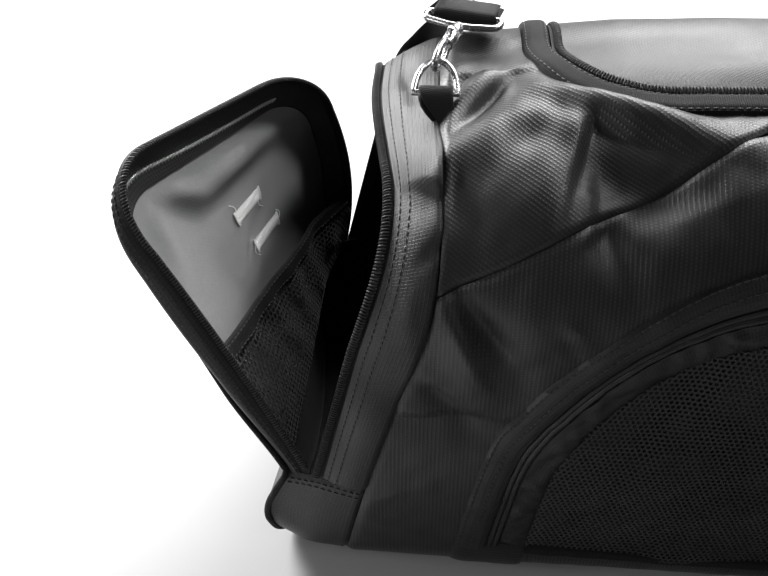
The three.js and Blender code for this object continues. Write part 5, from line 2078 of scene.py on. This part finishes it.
def lid_band_rise(across, part):
    """Height of the raised rim band, drawn in along its stitches."""
    stitched = 0.0007 * (bell(across - 0.16, 0.05) + bell(across - 0.86, 0.05))
    uneven = uneven_height(LID_BAND_UNEVEN, part * LID_LENGTH, across * 0.01)
    return fold_rise(across, -0.0010, 0.0044) - stitched + uneven


def lid_panel_surface(along, across):
    front = LID_FRONT + LID_INSET - LID_TUCK
    radius = LID_CORNER - LID_INSET + LID_TUCK
    straight = LID_HALF_LENGTH - LID_CORNER
    y = lerp(front, LID_BACK - GAP, across * across * LID_BIAS + across * (1 - LID_BIAS))
    before = np.maximum(0, front + radius - y)
    half = straight + np.sqrt(np.maximum(0, radius ** 2 - before ** 2))
    x = lerp(-half, half, along)
    inside = np.sin(math.pi * along) * np.sin(math.pi * across)
    dents = dent_depth(LID_DENTS, x, y) * np.sqrt(np.maximum(inside, 0))
    return top_point(x, y, LID_LIFT + (LID_PUFF - uneven_height(LID_UNEVEN, x, y)) * inside - dents)


def make_lid():
    def flat_rise(across, part):
        return LID_ZIP_RISE + 0 * across * part

    zip_middle = sum(LID_ZIP_INSETS) / 2
    strip_piece("lid_band", (320, 14), lid_strip(LID_BAND_INSETS, lid_band_rise), "matt", "webbing")
    strip_piece("lid_zip", (320, 8), lid_strip(LID_ZIP_INSETS, flat_rise), "tape", "zip_coil")
    coil("lid_coil", lid_surface, second_fixed(zip_middle), LID_COIL_LIFT)
    panel = (lid_panel_surface, flat_texture(2 * LID_HALF_LENGTH, LID_BACK - LID_FRONT))
    cloth_piece("lid_panel", (140, 60), panel, "upper")
    x, y = (float(value) for value in lid_outline(LID_SLIDER_PART, zip_middle))
    make_slider("lid_slider", surface_matrix(top_point(x, y, SLIDER_LIFT), (1.0, 0.0, 0.0), (0.0, 0.0, 1.0)))


# Carrying hardware


def rounded(corners, reach):
    """Closed line through corners that are rounded off."""
    points = []
    for number, corner in enumerate(corners):
        before = corners[number - 1] - corner
        after = corners[(number + 1) % len(corners)] - corner
        start = corner + before * min(reach / np.linalg.norm(before), 0.45)
        end = corner + after * min(reach / np.linalg.norm(after), 0.45)
        for part in np.linspace(0, 1, 6):
            points.append(lerp(lerp(start, corner, part), lerp(corner, end, part), part))
    return np.array(points)


def make_hook(sign, name):
    """Snap hook: loop, turned body with its gate knob, and the eye for the strap."""
    middle = BODY_START - HOOK_LOOP[0] + WIRE
    angle = np.linspace(0, 2 * math.pi, 49)[:-1]
    loop = hook_point(sign, 0, middle + HOOK_LOOP[0] * np.cos(angle), HOOK_LOOP[1] * np.sin(angle))
    stations = np.array([0.0, 0.03, 0.10, 0.16, 0.20, 0.24, 0.55, 0.60, 0.64, 0.80, 0.86, 0.97, 1.0])
    swell = [0.55, 0.78, 0.85, 0.82, 0.95, 1.0, 1.0, 0.8, 0.95, 0.95, 0.75, 0.7, 0.5]
    body = hook_point(sign, 0, BODY_START + HOOK_BODY_LENGTH * stations, 0)
    shoulder = EYE_START + EYE_SHOULDER
    corners = np.array([
        (EYE_HALF_WIDTH, EYE_BAR),
        (-EYE_HALF_WIDTH, EYE_BAR),
        (-EYE_HALF_WIDTH, shoulder),
        (-EYE_NECK, EYE_START),
        (EYE_NECK, EYE_START),
        (EYE_HALF_WIDTH, shoulder),
    ])
    eye = rounded(hook_point(sign, *corners.T, 0), EYE_ROUND)
    knob = hook_point(sign, 0, BODY_START + KNOB_PLACE, np.array([0.003, 0.0055, 0.0066, 0.0078, 0.0082]))
    piece = join(name, [
        tube("loop", loop, WIRE, closed=True, roundness=4),
        tube("body", body, HOOK_BODY_RADIUS, roundness=6, swell=swell),
        tube("eye", eye, WIRE, closed=True, roundness=4),
        tube("knob", knob, KNOB_RADIUS, roundness=4, swell=[0.6, 0.6, 1.0, 1.0, 0.6]),
    ])
    smooth(piece, 40)
    finish_piece(piece, "metal", "bright_metal", name)


def make_ring(sign, name):
    angle = np.linspace(0, math.pi, 33)
    side = np.concatenate([RING_WIDTH / 2 * np.cos(angle), [-RING_WIDTH / 4, RING_WIDTH / 4]])
    along = np.concatenate([RING_LENGTH * np.sin(angle), [0, 0]])
    line = hardware_point(sign, side, BAR_Y + along, RING_RISE * along / RING_LENGTH)
    finish_piece(tube(name, line, WIRE, closed=True, roundness=4), "metal", "bright_metal", name)


def make_strap_tab(sign, name):
    turn = WIRE + GAP + STRAP_THICKNESS / 2
    angle = math.pi * (np.linspace(0, 1, 13) - 0.5)
    run = np.linspace(0, 1, 8)[:-1]
    ease = smoothstep(run, 0.0, 1.0)
    reach = lerp(TAB_BACK, BAR_Y, run)
    y = np.concatenate([reach, BAR_Y + turn * np.cos(angle), reach[::-1]])
    lower = lerp(-HARDWARE_LIFT - TAB_SINK - STRAP_THICKNESS, -turn, ease)
    upper = lerp(-HARDWARE_LIFT - TAB_SINK, turn, ease)
    shift = lerp(TAB_SHIFT, 0.0, ease)
    side = np.concatenate([shift, 0 * angle, shift[::-1]])
    points = hardware_point(sign, side, y, np.concatenate([lower, turn * np.sin(angle), upper[::-1]]))
    across = np.tile(np.array([1.0, 0.0, 0.0]), (len(points), 1))
    taper = lerp(TAB_GATHER, 1.0, ease)
    gathered = np.concatenate([taper, 1 + 0 * angle, taper[::-1]])
    piece = ribbon(name, points, across, TAB_WIDTH * gathered, STRAP_THICKNESS)
    finish_piece(piece, "webbing", "webbing", name)


def make_hardware():
    for sign, end in ((-1, "left"), (1, "right")):
        make_strap_tab(sign, "strap_tab_" + end)
        make_ring(sign, "d_ring_" + end)
        make_hook(sign, "snap_hook_" + end)


# Stitching


def raised_band(inset, part):
    """Point on the folded band of the front pocket."""
    across = (inset - BAND_INSETS[0]) / (BAND_INSETS[1] - BAND_INSETS[0])
    return pocket_surface(inset, part, band_rise(across, part))


def raised_lid_band(part, inset):
    """Point on the raised rim band of the lid."""
    return lid_surface(part, inset, lid_band_rise(inset / LID_BAND_INSETS[1], part))


def make_stitching():
    seams = (
        ("end_band_stitches", band_surface, first_fixed, BAND_ROWS, 0.0002),
        ("pocket_stitches", raised_band, first_fixed, POCKET_ROWS, 0.0003),
        ("lid_stitches", raised_lid_band, second_fixed, LID_ROWS, 0.0003),
        ("hem_stitches", hem_surface, second_fixed, HEM_ROWS, 0.0002),
        ("flap_stitches", gusset_wall, second_fixed, FLAP_ROWS, 0.0003),
        ("hinge_stitches", gusset_surface, second_fixed, HINGE_ROWS, 0.0003),
    )
    for name, surface, route, places, lift in seams:
        rows = [stitch_row(surface, route(place), lift=lift) for place in places]
        stitch_piece(name, rows)


# Operators


class TRAVELBAG_OT_stage(bpy.types.Operator):
    """Make the pale floor, the soft lights and the camera"""

    bl_idname = "travelbag.stage"
    bl_label = "Stage"

    def execute(self, context):
        make_stage()
        return {"FINISHED"}


class TRAVELBAG_OT_finishes(bpy.types.Operator):
    """Make the finishes that the pieces share"""

    bl_idname = "travelbag.finishes"
    bl_label = "Finishes"

    def execute(self, context):
        make_materials()
        return {"FINISHED"}


class TRAVELBAG_OT_strap(bpy.types.Operator):
    """Make the shoulder strap"""

    bl_idname = "travelbag.strap"
    bl_label = "Shoulder Strap"

    def execute(self, context):
        make_strap()
        return {"FINISHED"}


class TRAVELBAG_OT_body_panels(bpy.types.Operator):
    """Make the four panels of the body"""

    bl_idname = "travelbag.body_panels"
    bl_label = "Body Panels"

    def execute(self, context):
        make_body_panels()
        return {"FINISHED"}


class TRAVELBAG_OT_left_end(bpy.types.Operator):
    """Make the end band and the hinge gusset"""

    bl_idname = "travelbag.left_end"
    bl_label = "Left End"

    def execute(self, context):
        make_left_end()
        return {"FINISHED"}


class TRAVELBAG_OT_flap(bpy.types.Operator):
    """Make the open end flap with its piping, bound seam and bar tacks"""

    bl_idname = "travelbag.flap"
    bl_label = "End Flap"

    def execute(self, context):
        make_flap()
        return {"FINISHED"}


class TRAVELBAG_OT_end_zips(bpy.types.Operator):
    """Make the two halves of the open end zip and its slider"""

    bl_idname = "travelbag.end_zips"
    bl_label = "End Zips"

    def execute(self, context):
        make_end_zips()
        return {"FINISHED"}


class TRAVELBAG_OT_net_pocket(bpy.types.Operator):
    """Make the net pocket in the flap and its hem"""

    bl_idname = "travelbag.net_pocket"
    bl_label = "Net Pocket"

    def execute(self, context):
        make_net_pocket()
        return {"FINISHED"}


class TRAVELBAG_OT_right_end(bpy.types.Operator):
    """Make the closed right end"""

    bl_idname = "travelbag.right_end"
    bl_label = "Right End"

    def execute(self, context):
        make_right_end()
        return {"FINISHED"}


class TRAVELBAG_OT_front_pocket(bpy.types.Operator):
    """Make the arched front pocket with its zip, net and tabs"""

    bl_idname = "travelbag.front_pocket"
    bl_label = "Front Pocket"

    def execute(self, context):
        make_front_pocket()
        return {"FINISHED"}


class TRAVELBAG_OT_lid(bpy.types.Operator):
    """Make the lid with its raised band and zip"""

    bl_idname = "travelbag.lid"
    bl_label = "Lid"

    def execute(self, context):
        make_lid()
        return {"FINISHED"}


class TRAVELBAG_OT_hardware(bpy.types.Operator):
    """Make the strap tabs, rings and snap hooks"""

    bl_idname = "travelbag.hardware"
    bl_label = "Carrying Hardware"

    def execute(self, context):
        make_hardware()
        return {"FINISHED"}


class TRAVELBAG_OT_stitching(bpy.types.Operator):
    """Make the rows of stitches"""

    bl_idname = "travelbag.stitching"
    bl_label = "Stitching"

    def execute(self, context):
        make_stitching()
        return {"FINISHED"}


OPERATORS = (
    TRAVELBAG_OT_stage,
    TRAVELBAG_OT_finishes,
    TRAVELBAG_OT_strap,
    TRAVELBAG_OT_body_panels,
    TRAVELBAG_OT_left_end,
    TRAVELBAG_OT_flap,
    TRAVELBAG_OT_end_zips,
    TRAVELBAG_OT_net_pocket,
    TRAVELBAG_OT_right_end,
    TRAVELBAG_OT_front_pocket,
    TRAVELBAG_OT_lid,
    TRAVELBAG_OT_hardware,
    TRAVELBAG_OT_stitching,
)


class TRAVELBAG_PT_sidebar(bpy.types.Panel):
    """Buttons and settings of the travel bag"""

    bl_label = "Travel Bag"
    bl_idname = "TRAVELBAG_PT_sidebar"
    bl_space_type = "VIEW_3D"
    bl_region_type = "UI"
    bl_category = "Travel Bag"

    def draw(self, context):
        for operator in OPERATORS:
            self.layout.operator(operator.bl_idname)
        for group in (settings().cloth, settings().zips, settings().nets, settings().finish):
            box = self.layout.box()
            for name in group.__annotations__:
                box.prop(group, name)


CLASSES = (
    ClothSettings,
    ZipSettings,
    NetSettings,
    FinishSettings,
    BagSettings,
    *OPERATORS,
    TRAVELBAG_PT_sidebar,
)


def register():
    for item in CLASSES:
        bpy.utils.register_class(item)
    bpy.types.Scene.travel_bag = bpy.props.PointerProperty(type=BagSettings)


def unregister():
    del bpy.types.Scene.travel_bag
    for item in reversed(CLASSES):
        bpy.utils.unregister_class(item)


def main():
    register()
    for operator in OPERATORS:
        group, name = operator.bl_idname.split(".")
        getattr(getattr(bpy.ops, group), name)()


if __name__ == "__main__":
    main()
